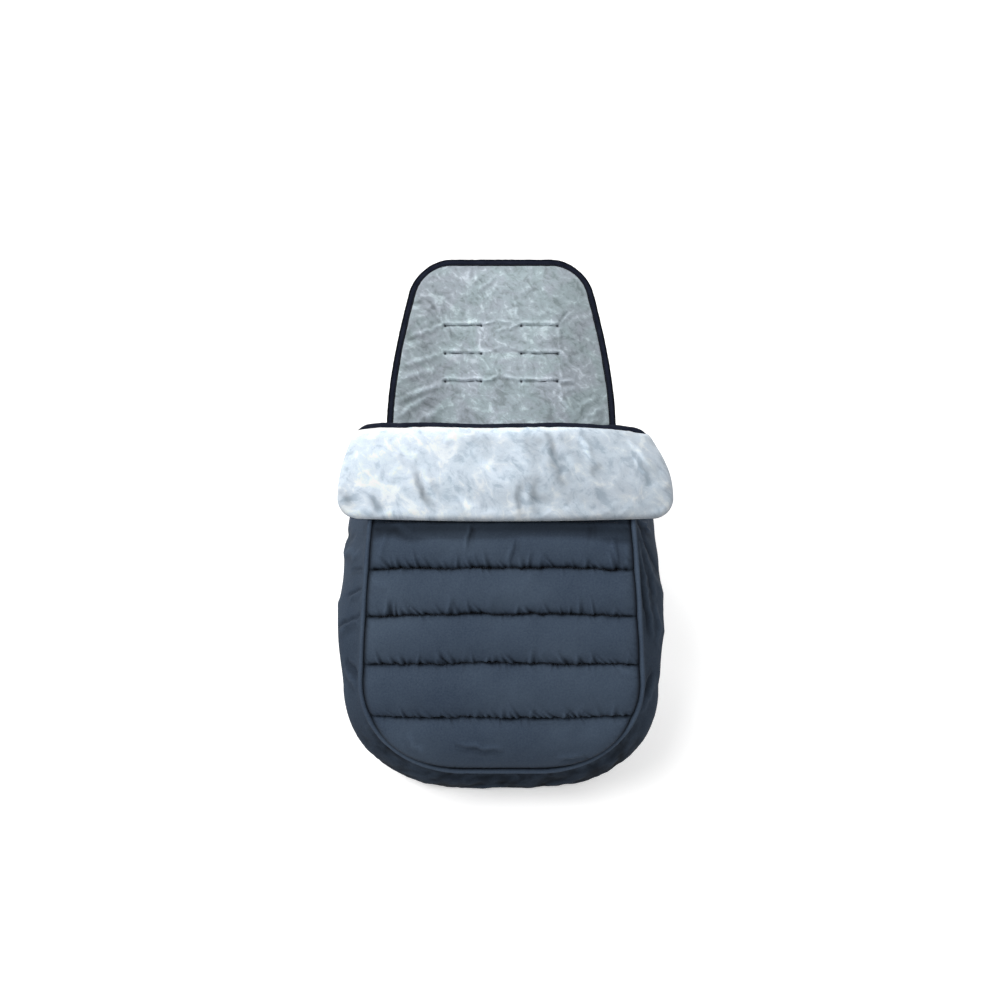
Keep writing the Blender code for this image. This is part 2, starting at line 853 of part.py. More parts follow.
def make_zip(tape, coil, metal):
    """Each half of the zip: a tape, its coil, and a stop at each top end."""
    tape_frames = rim_frames(ZIP_START / SIDE_END)
    coil_frames = rim_frames(COIL_START / SIDE_END)
    half_tape = TAPE_THICKNESS / 2
    half_coil = COIL_THICKNESS / 2
    apron_low = -ZIP_DEPTH + ZIP_SLIT / 2
    apron_high = apron_low + COIL_WIDTH
    gusset_high = -ZIP_DEPTH - ZIP_SLIT / 2
    gusset_low = gusset_high - COIL_WIDTH
    spans = {
        "apron": (apron_low, apron_high, apron_high + CLEARANCE, -APRON_TAPE_TOP_DEPTH),
        "gusset": (
            gusset_low,
            gusset_high,
            -GUSSET_TAPE_BOTTOM_DEPTH,
            gusset_low - CLEARANCE,
        ),
    }
    halves = {}
    for half, (coil_low, coil_high, tape_low, tape_high) in spans.items():
        coil_section = box_section(-half_coil, half_coil, coil_low, coil_high)
        tape_section = box_section(-half_tape, half_tape, tape_low, tape_high)
        made = [
            sweep(f"zip_coil_{half}", coil_frames, coil_section, coil),
            sweep(f"zip_tape_{half}", tape_frames, tape_section, tape),
        ]
        proud = half_coil + ZIP_STOP_PROUD
        stop_section = box_section(-proud, proud, coil_low, coil_high)
        for side_name, side in (("left", -1), ("right", 1)):
            ends = (ZIP_START, ZIP_START + ZIP_STOP_LENGTH)
            frames = [rim_frame(side, end / SIDE_END) for end in ends]
            made.append(bar(f"zip_stop_{half}_{side_name}", frames, stop_section, metal))
        halves[half] = made
    return halves


def track_frame(side, down):
    """(point, way out, way down, way up) on the track of the left or right slider."""
    centre, axis, arm = track_axis(side)
    start = APRON_LENGTH / 2
    turn = (down - start) / APRON_RADIUS
    along = np.cross(axis, arm)
    up = math.cos(turn) * arm + math.sin(turn) * along
    way = -math.sin(turn) * arm + math.cos(turn) * along
    point = centre + (APRON_RADIUS - ZIP_DEPTH + track_shift()) * up
    return point, side * axis, way, up


def track_shift():
    """How much longer the track's radius is than the zip line's, because it is tilted."""
    radius = APRON_RADIUS - ZIP_DEPTH
    return 2 * radius * (math.sqrt(1 + APRON_TAPER_SLOPE**2) - 1)


def track_axis(side):
    """(centre, axis, arm to mid track) of the circle that the side's zip line follows."""
    middle = APRON_LENGTH / 2
    arm = apron_out(middle)
    chord = apron_way_down(middle)
    along = unit(chord + np.array([side * APRON_TAPER_SLOPE, 0, 0]))
    axis = np.cross(arm, along)
    centre = np.array([side * APRON_MIDDLE_HALF_WIDTH, APRON_CENTRE_Y, APRON_CENTRE_Z])
    return centre - track_shift() * arm, axis, arm


def make_slider(side_name, side, metal):
    """A slider that grips the gusset's half of the zip and leaves the apron's half free."""
    out_high = COIL_THICKNESS / 2 + SLIDER_PLAY
    plate = out_high + SLIDER_PLATE
    low = -ZIP_SLIT / 2 - COIL_WIDTH - SLIDER_PLAY - SLIDER_FLANGE
    high = low + SLIDER_WIDTH
    web = SLIDER_WEB / 2
    lip = TAPE_THICKNESS / 2 + SLIDER_PLAY
    inner = low + SLIDER_FLANGE
    section = slider_section(plate, out_high, lip, low, inner, high, web)
    point, out, way, up = track_frame(side, SLIDER_START + SLIDER_LENGTH / 2)
    run = SLIDER_LENGTH / 2
    frames = [(point - run * way, out, up), (point + run * way, out, up)]
    body = bar(f"slider_{side_name}", frames, section, metal)
    bail = make_bail(side_name, point + plate * out, out, way, up, metal)
    join(body, bail)
    place_origins([body, bail], track_axis(side)[0])
    return point + plate * out, out, way, up


def slider_section(plate, out_high, lip, low, inner, high, web):
    """The slider's section: two plates, the web between them, and lips round the tape."""
    return [
        (plate, low),
        (plate, high),
        (out_high, high),
        (out_high, web),
        (-out_high, web),
        (-out_high, high),
        (-plate, high),
        (-plate, low),
        (-lip, low),
        (-lip, inner),
        (-out_high, inner),
        (-out_high, -web),
        (out_high, -web),
        (out_high, inner),
        (lip, inner),
        (lip, low),
    ]


def make_bail(side_name, seat, out, way, up, metal):
    """The arch on the slider that holds the pull tab."""
    outer = BAIL_SPAN / 2 + BAIL_BAR / 2
    inner = BAIL_SPAN / 2 - BAIL_BAR / 2
    sunk = -SLIDER_PLATE / 2
    top = BAIL_CLEAR_HEIGHT + BAIL_BAR
    section = [
        (-outer, sunk),
        (-inner, sunk),
        (-inner, BAIL_CLEAR_HEIGHT),
        (inner, BAIL_CLEAR_HEIGHT),
        (inner, sunk),
        (outer, sunk),
        (outer, BAIL_CLEAR_HEIGHT),
        (inner, top),
        (-inner, top),
        (-outer, BAIL_CLEAR_HEIGHT),
    ]
    half = BAIL_WIDTH / 2
    frames = [(seat - half * up, way, out), (seat + half * up, way, out)]
    bail = bar(f"bail_{side_name}", frames, section, metal)
    bail.hide_render = True
    bail.display_type = "WIRE"
    return bail


def join(obj, other):
    modifier = obj.modifiers.new("join", "BOOLEAN")
    modifier.operation = "UNION"
    modifier.object = other
    modifier.solver = "EXACT"


def make_pull_tab(side_name, seat, out, way, up, metal):
    """A tab whose pin turns under the bail; its window clears the bail all round."""
    pin = TAB_PIN / 2
    half_width = TAB_WIDTH / 2
    bar_half = BAIL_WIDTH / 2 + SLIDER_PLAY
    end = TAB_LENGTH
    origin = seat + (BAIL_CLEAR_HEIGHT / 2) * out
    outline = [
        (-pin, -half_width),
        (TAB_WINDOW, -half_width),
        (end - half_width, -half_width),
        (end, -half_width / 2),
        (end, half_width / 2),
        (end - half_width, half_width),
        (TAB_WINDOW, half_width),
        (-pin, half_width),
    ]
    window = [(pin, -bar_half), (TAB_WINDOW, -bar_half), (TAB_WINDOW, bar_half), (pin, bar_half)]
    half = TAB_THICKNESS / 2
    frames = [(origin - half * out, way, up), (origin + half * out, way, up)]
    tab = bar(f"pull_tab_{side_name}", frames, outline, metal)
    over = TAB_THICKNESS
    frames = [(origin - over * out, way, up), (origin + over * out, way, up)]
    cutter = bar(f"tab_window_{side_name}", frames, window, metal)
    cutter.hide_render = True
    cutter.display_type = "WIRE"
    cut(tab, cutter)
    place_origins([tab, cutter], origin)


# Gusset


def gusset_bulge(place):
    return GUSSET_BULGE * float(np.interp(place, GUSSET_PLACES, GUSSET_BULGE_SHARES))


def pad_rim(place):
    """(x, down, outward x, outward down) on the pad's edge, matched to a place on the zip."""
    corner = PAD_LENGTH - PAD_TOE_CORNER_RADIUS
    flat = PAD_HALF_WIDTH - PAD_TOE_CORNER_RADIUS
    if place <= 1:
        return PAD_HALF_WIDTH, GUSSET_START + (corner - GUSSET_START) * place, 1, 0
    if place <= 2:
        turn = math.pi / 2 * (place - 1)
        x = flat + PAD_TOE_CORNER_RADIUS * math.cos(turn)
        down = corner + PAD_TOE_CORNER_RADIUS * math.sin(turn)
        return x, down, math.cos(turn), math.sin(turn)
    return flat * (3 - place), PAD_LENGTH, 0, 1


def wall_ends(side, place):
    """Bottom and top of the gusset's outer face, with the way out at each."""
    x, down, out_x, out_down = pad_rim(place)
    slope = pad_frame(down)[2]
    way_down = np.array([0, -math.cos(slope), -math.sin(slope)])
    low_out = np.array([side * out_x, 0, 0]) + out_down * way_down
    low = pad_point(side * x, down, 0) + (GUSSET_THICKNESS + CLEARANCE) * low_out
    origin, high_out, high_up = rim_frame(side, place)
    proud = TAPE_THICKNESS / 2 + CLEARANCE + SHELL_THICKNESS
    high = origin + proud * high_out - GUSSET_EDGE_DEPTH * high_up
    return low, low_out, high, high_out


def wall_point(track, share):
    """A point on the gusset's outer face. track runs from 0 at the left top to 6."""
    side = -1 if track < 3 else 1
    place = track if track < 3 else 6 - track
    low, low_out, high, high_out = wall_ends(side, place)
    rest = 1 - share
    along_side = (1 - math.cos(math.tau * share)) / 2
    at_toe = 4 * rest * share
    puff = gusset_bulge(place) * (along_side + (at_toe - along_side) * ease(place - 1))
    return low * rest + high * share + puff * (rest * low_out + share * high_out)


def wall_normal(track, share):
    """The way out of the gusset's outer face."""
    step = 1e-4
    before = max(track - step, 0)
    after = min(track + step, 6)
    along = wall_point(after, share) - wall_point(before, share)
    rise = wall_point(track, min(share + step, 1)) - wall_point(track, max(share - step, 0))
    return unit(np.cross(along, rise))


def wall_length(track):
    places = [wall_point(track, step / 8) for step in range(9)]
    return sum(np.linalg.norm(b - a) for a, b in zip(places, places[1:]))


def wall_tracks():
    """Places round the gusset, which follow the pad's bends and the binding's inner end."""
    corner = PAD_LENGTH - PAD_TOE_CORNER_RADIUS
    stops = [BIGHT_START, SEAT_START, KNEE_START, LEG_START, corner]
    downs = []
    for here, after in zip(stops, stops[1:]):
        downs += [here, (here + after) / 2]
    half = [0, GUSSET_BINDING_SHARE]
    half += [(down - GUSSET_START) / (corner - GUSSET_START) for down in downs]
    half += [1 + step / CORNER_STEPS for step in range(CORNER_STEPS)]
    half += [2 + step / TOE_STEPS for step in range(TOE_STEPS)]
    return half + [3] + [6 - track for track in half[::-1]]


def wall_shares(track):
    """Places up the gusset: the wadding ends at the last but one."""
    top = 1 - GUSSET_WADDING_SETBACK / wall_length(track)
    return [share * top for share in WALL_SHARES] + [1]


def gusset_layer(name, outer, inner, whole, material):
    """A layer between two depths from the outer face; whole if it reaches the zip."""
    grids = []
    for depth in (outer, inner):
        grid = []
        for track in wall_tracks():
            shares = wall_shares(track)
            shares = shares if whole else shares[:-1]
            grid.append(
                [wall_point(track, s) - depth * wall_normal(track, s) for s in shares]
            )
        grids.append(np.array(grid))
    return slab(name, grids[1], grids[0], material)


def make_gusset(fabric, wadding, plush):
    inside = GUSSET_THICKNESS
    lining = inside - LINING_THICKNESS
    gusset_layer("gusset_outer_shell", 0, SHELL_THICKNESS, True, fabric)
    start = SHELL_THICKNESS + CLEARANCE
    gusset_layer("gusset_wadding", start, lining - CLEARANCE, False, wadding)
    gusset_layer("gusset_plush_lining", lining, inside, True, plush)


def armhole_ring(edge, inside, share):
    """The binding's section at one place up the gusset's free edge."""
    outer = wall_point(edge, share)
    inner = outer - GUSSET_THICKNESS * wall_normal(edge, share)
    outer_inside = wall_point(inside, share)
    inner_inside = outer_inside - GUSSET_THICKNESS * wall_normal(inside, share)
    normal = unit(outer - inner)
    outer_way = unit(outer - outer_inside)
    inner_way = unit(inner - inner_inside)
    near = CLEARANCE * 3
    far = near + BINDING_THICKNESS
    leg = near - BINDING_WIDTH
    return [
        outer + leg * outer_way + near * normal,
        outer + near * outer_way + near * normal,
        inner + near * inner_way - near * normal,
        inner + leg * inner_way - near * normal,
        inner + leg * inner_way - far * normal,
        inner + far * inner_way - far * normal,
        outer + far * outer_way + far * normal,
        outer + leg * outer_way + far * normal,
    ]


def make_armhole_binding(side_name, side, fabric):
    """The tape folded over the gusset's free edge beside the child's arm."""
    edge = 0 if side < 0 else 6
    inside = GUSSET_BINDING_SHARE if side < 0 else 6 - GUSSET_BINDING_SHARE
    rings = [armhole_ring(edge, inside, share) for share in wall_shares(edge)]
    first = ARMHOLE_BINDING_START_SHARE
    rings[0] = [a * (1 - first) + b * first for a, b in zip(rings[0], rings[1])]
    turned = (0,) if side < 0 else (2,)
    triangulate(loft(f"gusset_top_binding_{side_name}", rings, fabric, turned))


# Cuff


def cuff_half_width(down):
    """Half the cuff's width, at a distance down from its fold."""
    grow = ease(down / (CUFF_LENGTH - CUFF_LOW_CORNER_RADIUS))
    half = CUFF_TOP_HALF_WIDTH + (CUFF_HALF_WIDTH - CUFF_TOP_HALF_WIDTH) * grow
    top = corner_loss(down, CUFF_TOP_CORNER_RADIUS)
    return half - top - corner_loss(CUFF_LENGTH - down, CUFF_LOW_CORNER_RADIUS)


def cuff_place(row, column):
    """(x, down) on the cuff: its lower edge rises towards its ends."""
    x = column * cuff_half_width(row * CUFF_LENGTH)
    rise = CUFF_CORNER_RISE * (x / CUFF_HALF_WIDTH) ** 2
    return x, CUFF_START + row * (CUFF_LENGTH - rise)


def cuff_base(x, down):
    """The cuff's underside: on the apron's binding at its seam, and over the piping."""
    seam = CLEARANCE * 2 + BINDING_THICKNESS
    inside = apron_half_width(0) - abs(x)
    rise = max(ease(down / CUFF_SEAM_WIDTH), 1 - ease(inside / CUFF_END_RISE_WIDTH))
    return apron_crown(x, down) + seam + CUFF_LIFT * rise


def cuff_thickness(row, column):
    half = cuff_half_width(row * CUFF_LENGTH)
    side = half * (1 - abs(column))
    inside = min(side, row * CUFF_LENGTH, (1 - row) * CUFF_LENGTH)
    swell = round_over(inside / CUFF_ROLL)
    return CUFF_EDGE_THICKNESS + (CUFF_THICKNESS - CUFF_EDGE_THICKNESS) * swell


def cuff_layer(name, low, high, material):
    """A layer of the cuff between two heights above its base."""
    grids = []
    for height in (low, high):
        grid = []
        for row in CUFF_ROW_SHARES:
            line = []
            for column in CUFF_COLUMN_SHARES:
                x, down = cuff_place(row, column)
                thick = cuff_thickness(row, column)
                line.append(apron_point(x, down, cuff_base(x, down) + height(thick)))
            grid.append(line)
        grids.append(np.array(grid))
    return slab(name, grids[0], grids[1], material)


def make_cuff(fabric, wadding, plush):
    """The turned-over flap: plush on top, shell fabric below, wadding between them."""
    backing = cuff_layer(
        "cuff_backing",
        lambda thick: 0,
        lambda thick: SHELL_THICKNESS,
        fabric,
    )
    filling = cuff_layer(
        "cuff_wadding",
        lambda thick: SHELL_THICKNESS + CLEARANCE,
        lambda thick: thick - CUFF_PLUSH_THICKNESS - CLEARANCE,
        wadding,
    )
    face = cuff_layer(
        "cuff_plush_face",
        lambda thick: thick - CUFF_PLUSH_THICKNESS,
        lambda thick: thick,
        plush,
    )
    return [backing, filling, face]


def main():
    clear_scene()
    fabric = make_material("shell_fabric", (0.040, 0.050, 0.065), 0.55)
    trim = make_material("binding_tape", (0.012, 0.014, 0.020), 0.7)
    plush = make_material("plush_grey", (0.34, 0.38, 0.37), 0.95)
    cuff_plush = make_material("plush_light_grey", (0.62, 0.68, 0.70), 0.95)
    wadding = make_material("polyester_wadding", (0.85, 0.85, 0.83), 0.95)
    thread = make_material("slot_thread", (0.10, 0.11, 0.12), 0.7)
    cord = make_material("piping_cord_cotton", (0.75, 0.74, 0.70), 0.9)
    tape = make_material("zip_tape_woven", (0.012, 0.014, 0.020), 0.75)
    coil = make_material("zip_coil_nylon", (0.010, 0.011, 0.014), 0.4)
    metal = make_material("slider_black_metal", (0.03, 0.03, 0.035), 0.3, 0.8)

    shell, backrest, seat, lining = make_pad(fabric, wadding, plush)
    slots = harness_slots() + seat_slots()
    cutter = make_slot_cutter(slots)
    for obj in (shell, backrest, seat, lining):
        cut(obj, cutter)
    for slot in slots:
        make_slot_stitching(slot, thread)
    make_pad_binding(trim)
    make_gusset(fabric, wadding, plush)
    apron = make_apron(fabric, wadding, plush)
    apron.append(make_apron_top_binding(trim))
    apron += make_piping(fabric, cord)
    apron += make_zip(tape, coil, metal)["apron"]
    place_origins(apron, apron_hinge())
    place_origins(make_cuff(fabric, wadding, cuff_plush), cuff_hinge())
    for side_name, side in (("left", -1), ("right", 1)):
        make_armhole_binding(side_name, side, trim)
        seat_point, out, way, up = make_slider(side_name, side, metal)
        make_pull_tab(side_name, seat_point, out, way, up, metal)


main()
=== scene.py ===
"""The finished looks of a padded stroller sleeping bag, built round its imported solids.

Metres, +Z up, -Y towards the toes. Each plain soft solid gives way to a fine mesh of
its own fabric: plush, quilted shell, tape, piping, zip and thread. The shapes follow
the solids, so their sizes are the solids' own.
"""

import math

import bpy
import numpy as np
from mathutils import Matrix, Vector


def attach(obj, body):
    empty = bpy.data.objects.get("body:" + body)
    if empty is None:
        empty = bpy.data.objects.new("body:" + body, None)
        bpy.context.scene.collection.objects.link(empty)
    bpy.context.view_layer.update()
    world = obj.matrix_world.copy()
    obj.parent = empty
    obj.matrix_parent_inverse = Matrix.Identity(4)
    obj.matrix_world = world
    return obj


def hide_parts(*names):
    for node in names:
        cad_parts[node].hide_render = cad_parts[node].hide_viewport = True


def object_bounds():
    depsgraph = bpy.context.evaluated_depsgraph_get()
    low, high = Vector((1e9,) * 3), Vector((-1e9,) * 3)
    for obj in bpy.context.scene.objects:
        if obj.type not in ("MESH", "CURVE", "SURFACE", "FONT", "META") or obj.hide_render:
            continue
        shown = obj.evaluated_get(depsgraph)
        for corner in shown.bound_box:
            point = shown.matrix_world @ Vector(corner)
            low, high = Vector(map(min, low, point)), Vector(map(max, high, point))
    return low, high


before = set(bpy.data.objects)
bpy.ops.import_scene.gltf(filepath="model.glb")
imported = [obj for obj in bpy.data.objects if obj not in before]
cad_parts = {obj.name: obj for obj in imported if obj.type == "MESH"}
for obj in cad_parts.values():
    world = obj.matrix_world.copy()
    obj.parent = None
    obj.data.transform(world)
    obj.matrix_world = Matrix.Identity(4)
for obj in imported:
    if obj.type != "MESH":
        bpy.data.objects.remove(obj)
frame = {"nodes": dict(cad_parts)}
SOLID_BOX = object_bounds()

# Camera, as the photograph was taken
CAMERA_PLACE = (-0.002, -1.113, 1.108)
CAMERA_PITCH = math.radians(50)
LENS = 36
SENSOR = 36

# Pad
BACKREST_LENGTH = 0.451
SEAT_LENGTH = 0.260
LEG_LENGTH = 0.172
BACKREST_SLOPE = math.radians(48)
LEG_SLOPE = math.radians(61)
BIGHT_RADIUS = 0.045
KNEE_RADIUS = 0.040
PAD_TOP_HALF_WIDTH = 0.138
PAD_HALF_WIDTH = 0.190
PAD_FLARE_LENGTH = 0.300
PAD_TOP_CORNER = 0.055
PAD_TOE_CORNER = 0.095
PAD_EDGE_THICKNESS = 0.009
PAD_THICKNESS = 0.018
PAD_ROLL = 0.040
PAD_EDGE_FLAT = 0.0105
PAD_SHOWN = 0.335
GUSSET_START = BACKREST_LENGTH - 0.100

# Fabric
SHELL = 0.0012
LINING = 0.0030
TAPE = 0.0010
TAPE_WIDTH = 0.0105
TAPE_INSET = 0.0045
TAPE_BULGE = 0.0013
PAD_TAPE_STEP = 0.0024
GAP = 0.0003

# Slots
SLOT_INNER = 0.033
SLOT_OUTER = 0.093
SLOT_ROWS = (0.1125, 0.1590, 0.2055)
SLOT_STEP = 0.0015
SLOT_DEPTH = 0.010
CROTCH_SLOT_HALF = 0.025
CROTCH_SLOT_AHEAD = 0.050
WAIST_SLOT_OUT = 0.120
WAIST_SLOT_HALF = 0.025
WAIST_SLOT_BEHIND = 0.050
BARTACK_REACH = 0.0014
BARTACK_STEP = 0.0005

# Apron
APRON_RADIUS = 0.497
APRON_CENTRE = (0.200, -0.200)
APRON_TOP_ANGLE = math.radians(109.7)
APRON_LENGTH = 0.4937
APRON_MIDDLE_HALF_WIDTH = 0.187
APRON_TAPER = 0.056
APRON_CORNER = 0.140
APRON_EDGE = 0.010
APRON_CROWN = 0.012
APRON_HEM = 0.012
EDGE_TUCK = 0.0040
LINING_TUCK = 0.0055
APRON_HIDDEN = 0.130
QUILT_PUFF = 0.0125
QUILT_PUFF_HIDDEN = 0.003
QUILT_ROLL = 0.024
SEAM_SHARES = (0.145, 0.273, 0.404, 0.532, 0.665, 0.813)
SEAM_BOWS = (0, -0.001, -0.002, -0.005, -0.006, -0.003)
ZIP_DEPTH = 0.0150
PIPING_RADIUS = 0.0036
PIPING_INSET = 0.0010

# Gusset
GUSSET_THICKNESS = 0.012
GUSSET_EDGE_DEPTH = 0.0205
GUSSET_BULGE = 0.052
GUSSET_PLACES = (0, 0.25, 0.45, 0.7, 1, 1.5, 2, 3)
GUSSET_BULGE_SHARES = (0.42, 0.735, 0.77, 0.75, 0.50, 0.58, 0.75, 0.76)

# Cuff
CUFF_START = 0.002
CUFF_PLUSH_START = 0.0085
CUFF_LENGTH = 0.135
CUFF_RISE = 0.010
CUFF_TOP_HALF_WIDTH = 0.2035
CUFF_HALF_WIDTH = 0.235
CUFF_LEFT_REACH = 0.2255
CUFF_RIGHT_REACH = 0.2365
CUFF_GROW_LENGTH = 0.095
CUFF_TOP_CORNER = 0.018
CUFF_LOW_CORNER = 0.030
CUFF_LIFT = 0.0035
CUFF_SEAM_WIDTH = 0.020
CUFF_END_RISE_WIDTH = 0.030
CUFF_THICKNESS = 0.030
CUFF_ROLL = 0.030

# Zip teeth
COIL_WIDTH = 0.0024
COIL_THICKNESS = 0.0022
COIL_PITCH = 0.0016
COIL_WIRE = 0.00045
COIL_START = 0.006
COIL_OVERLAP = 0.0011
ZIP_TAPE = 0.0007
APRON_TAPE_TOP = 0.0037
GUSSET_TAPE_BOTTOM = 0.0265

# Stitches
STITCH_PITCH = 0.0038
STITCH_RADIUS = 0.00035

# How strongly a fold's height paints light on its crest and shade at its foot.
FOLD_SHADE = 90

MASK = 0xFFFFFFFF
CLOTH_MAP = "cloth"
# Name of the point attribute that darkens or lightens the cloth's colour: mostly painted shade and
# painted light, with some of the plush's own tone.
SHADE = "shade"
PAD = "pad_and_gusset"
SIDES = (("left", -1), ("right", 1))

# Each half of the zip: its body, its way from the slit, its tape's low and high edge
HALVES = {
    "apron": ("apron", 1, -ZIP_DEPTH + 0.0001, -APRON_TAPE_TOP),
    "gusset": (PAD, -1, -GUSSET_TAPE_BOTTOM, -ZIP_DEPTH - 0.0001),
}


# Noise

def corner_value(i, j, seed):
    """A repeatable number from 0 to 1 for each corner of a lattice."""
    n = i.astype(np.int64) * 374761393 + j.astype(np.int64) * 668265263 + seed * 974711
    n = n & MASK
    n = ((n ^ (n >> 13)) * 1274126177) & MASK
    return ((n ^ (n >> 16)) & 0xFFFF) / 0xFFFF


def noise(u, v, seed):
    """Smooth noise from -1 to 1, in cells of 1."""
    u, v = np.broadcast_arrays(u, v)
    i = np.floor(u)
    j = np.floor(v)
    a = u - i
    b = v - j
    a = a * a * (3 - 2 * a)
    b = b * b * (3 - 2 * b)
    low = corner_value(i, j, seed) * (1 - a) + corner_value(i + 1, j, seed) * a
    high = corner_value(i, j + 1, seed) * (1 - a) + corner_value(i + 1, j + 1, seed) * a
    return 2 * (low * (1 - b) + high * b) - 1


def layered(u, v, seed, octaves=3):
    total = 0
    for octave in range(octaves):
        total = total + noise(u * 2**octave, v * 2**octave, seed + octave) / 2**octave
    return total / (2 - 2 ** (1 - octaves))


def crests(u, v, seed):
    """Noise with sharp crests at 1 and round hollows towards -1."""
    return 1 - 2 * np.abs(noise(u, v, seed))


def strip_noise(place, size, row, seed):
    """Noise along one way only; row picks another strip of it."""
    return noise(place / size, place * 0 + row, seed)


def ripples(along, crest, size, wave, seeds):
    """Short sharp crests and long soft waves along a bar, of the given heights."""
    sharp = crests(along / size, along * 0, seeds[0])
    return crest * sharp + wave * strip_noise(along, 0.03, 0, seeds[1])


def smooth(share):
    share = np.clip(share, 0, 1)
    return share * share * (3 - 2 * share)


def quarter(share):
    """0 to 1 along a quarter of a circle, steep at 0 and flat at 1."""
    share = np.clip(share, 0, 1)
    return np.sqrt(1 - (1 - share) ** 2)


def bell(distance, width):
    return np.exp(-((distance / width) ** 2))


def blurred(values, reach):
    """The running mean of a grid over a square of places."""
    size = 2 * reach + 1
    for _ in range(2):
        padded = np.pad(values, ((reach + 1, reach), (0, 0)), "edge")
        total = np.cumsum(padded, axis=0)
        values = ((total[size:] - total[:-size]) / size).T
    return values


def hollows(relief, reach, depth):
    """How far each place lies in a hollow, or on a crest where it is below 0."""
    return np.clip((blurred(relief, reach) - relief) / depth, -1, 1)


def by_line(x, down, line):
    """(share along, distance off, length, width) by a line whose sizes are in mm."""
    x_a, down_a, x_b, down_b, width = (value / 1000 for value in line[:5])
    run_x = x_b - x_a
    run_down = down_b - down_a
    length = math.hypot(run_x, run_down)
    along = ((x - x_a) * run_x + (down - down_a) * run_down) / length**2
    off = ((x - x_a) * run_down - (down - down_a) * run_x) / length
    return along, off, length, width


def folds(x, down, lines):
    """(relief, shade) of soft folds, each (x, down, x, down, width, height) in mm.

    A painted highlight makes the crest of a fold paler than the cloth beside it, and painted shade
    darkens one foot; on plush part of the paleness is its parted pile.
    """
    relief = np.zeros(np.broadcast(x, down).shape)
    shade = np.zeros(relief.shape)
    for index, line in enumerate(lines):
        along, off, length, width = by_line(x, down, line)
        height = line[5] / 1000
        off = off - 0.6 * width * strip_noise(along * length, 0.009, index, 7)
        taper = np.sqrt(np.clip(4 * along * (1 - along), 0, 1))
        crest = taper * bell(off, width)
        relief += height * crest
        shade -= FOLD_SHADE * height * crest
        shade += FOLD_SHADE * 0.8 * abs(height) * taper * bell(off + 1.8 * width, width)
    return relief, shade


def strokes(x, down, lines):
    """The sum of soft strokes, each (x, down, x, down, width) in mm and an amount."""
    total = np.zeros(np.broadcast(x, down).shape)
    for index, line in enumerate(lines):
        along, off, length, width = by_line(x, down, line)
        beyond = np.abs(along - np.clip(along, 0, 1)) * length
        off = off - width * noise(along * length / 0.012, off / 0.012 + index, 8)
        total += line[5] * bell(np.hypot(off, beyond), width)
    return total


def gathers(x, off, ends, seed, pitch, length, height, lean):
    """(relief, shade) of short folds that run out of a seam, no two of them alike.

    x runs along the seam, off is the distance from it, and lean is a pair of limits.
    """
    draw = np.random.default_rng(seed)
    relief = np.zeros(x.shape)
    shade = np.zeros(x.shape)
    place = ends[0]
    while place < ends[1]:
        place += draw.uniform(0.5, 1.6) * pitch
        reach = length * draw.uniform(0.35, 1.4)
        tilt = draw.uniform(*lean)
        width = draw.uniform(0.0011, 0.0023) * math.sqrt(length / 0.0125)
        rise = height * draw.uniform(0.3, 1.3)
        here = (off >= 0) & (off < reach) & (np.abs(x - place) < reach + 0.010)
        away = off[here]
        side = x[here] - place - tilt * away
        fade = (1 - away / reach) ** 1.2 * smooth(away / 0.0012 + 0.3)
        foot = bell(side - 2.0 * width, width * 1.1)
        relief[here] += rise * fade * (bell(side, width) - 0.5 * foot)
        # Painted shade at one foot of each gather and a painted highlight on its crest.
        shade[here] += fade * rise * (150 * foot - 50 * bell(side, width))
    return relief, shade


# Meshes

def summed(steps):
    """Running totals that start at 0."""
    return np.concatenate([[0], np.cumsum(steps)])


def run_along(points):
    """The distance along a path at each of its points."""
    return summed(np.linalg.norm(np.diff(points, axis=0), axis=-1))


def unit(ways):
    return ways / np.linalg.norm(ways, axis=-1, keepdims=True)


def stacked(*columns):
    return np.stack(np.broadcast_arrays(*columns), axis=-1)


def circle(count):
    """(cosine, sine) of even turns round a circle."""
    turns = math.tau * np.arange(count) / count
    return list(zip(np.cos(turns), np.sin(turns)))


def spread(start, end, step):
    """Places from start to just before end, about a step apart."""
    count = max(1, round((end - start) / step))
    return np.linspace(start, end, count, endpoint=False)


def turned(radius, steps):
    """Distances from an end at equal turns round its corner, without the last."""
    return radius * (1 - np.cos(np.linspace(0, math.pi / 2, steps, endpoint=False)))


def merged(places, least):
    """Sorted places with those closer than the least step dropped."""
    kept = []
    for place in np.sort(np.concatenate(places)):
        if not kept or place - kept[-1] > least:
            kept.append(place)
    return np.array(kept)


def normals_of(grid):
    """Unit normals of a grid whose rows run down and whose columns run across."""
    return unit(np.cross(np.gradient(grid, axis=0), np.gradient(grid, axis=1)))


def grid_quads(rows, columns):
    index = np.arange(rows * columns).reshape(rows, columns)
    corners = (index[:-1, :-1], index[:-1, 1:], index[1:, 1:], index[1:, :-1])
    return np.stack(corners, axis=-1).reshape(-1, 4)


def linked(name, data):
    """A new object in the scene."""
    obj = bpy.data.objects.new(name, data)
    bpy.context.scene.collection.objects.link(obj)
    return obj


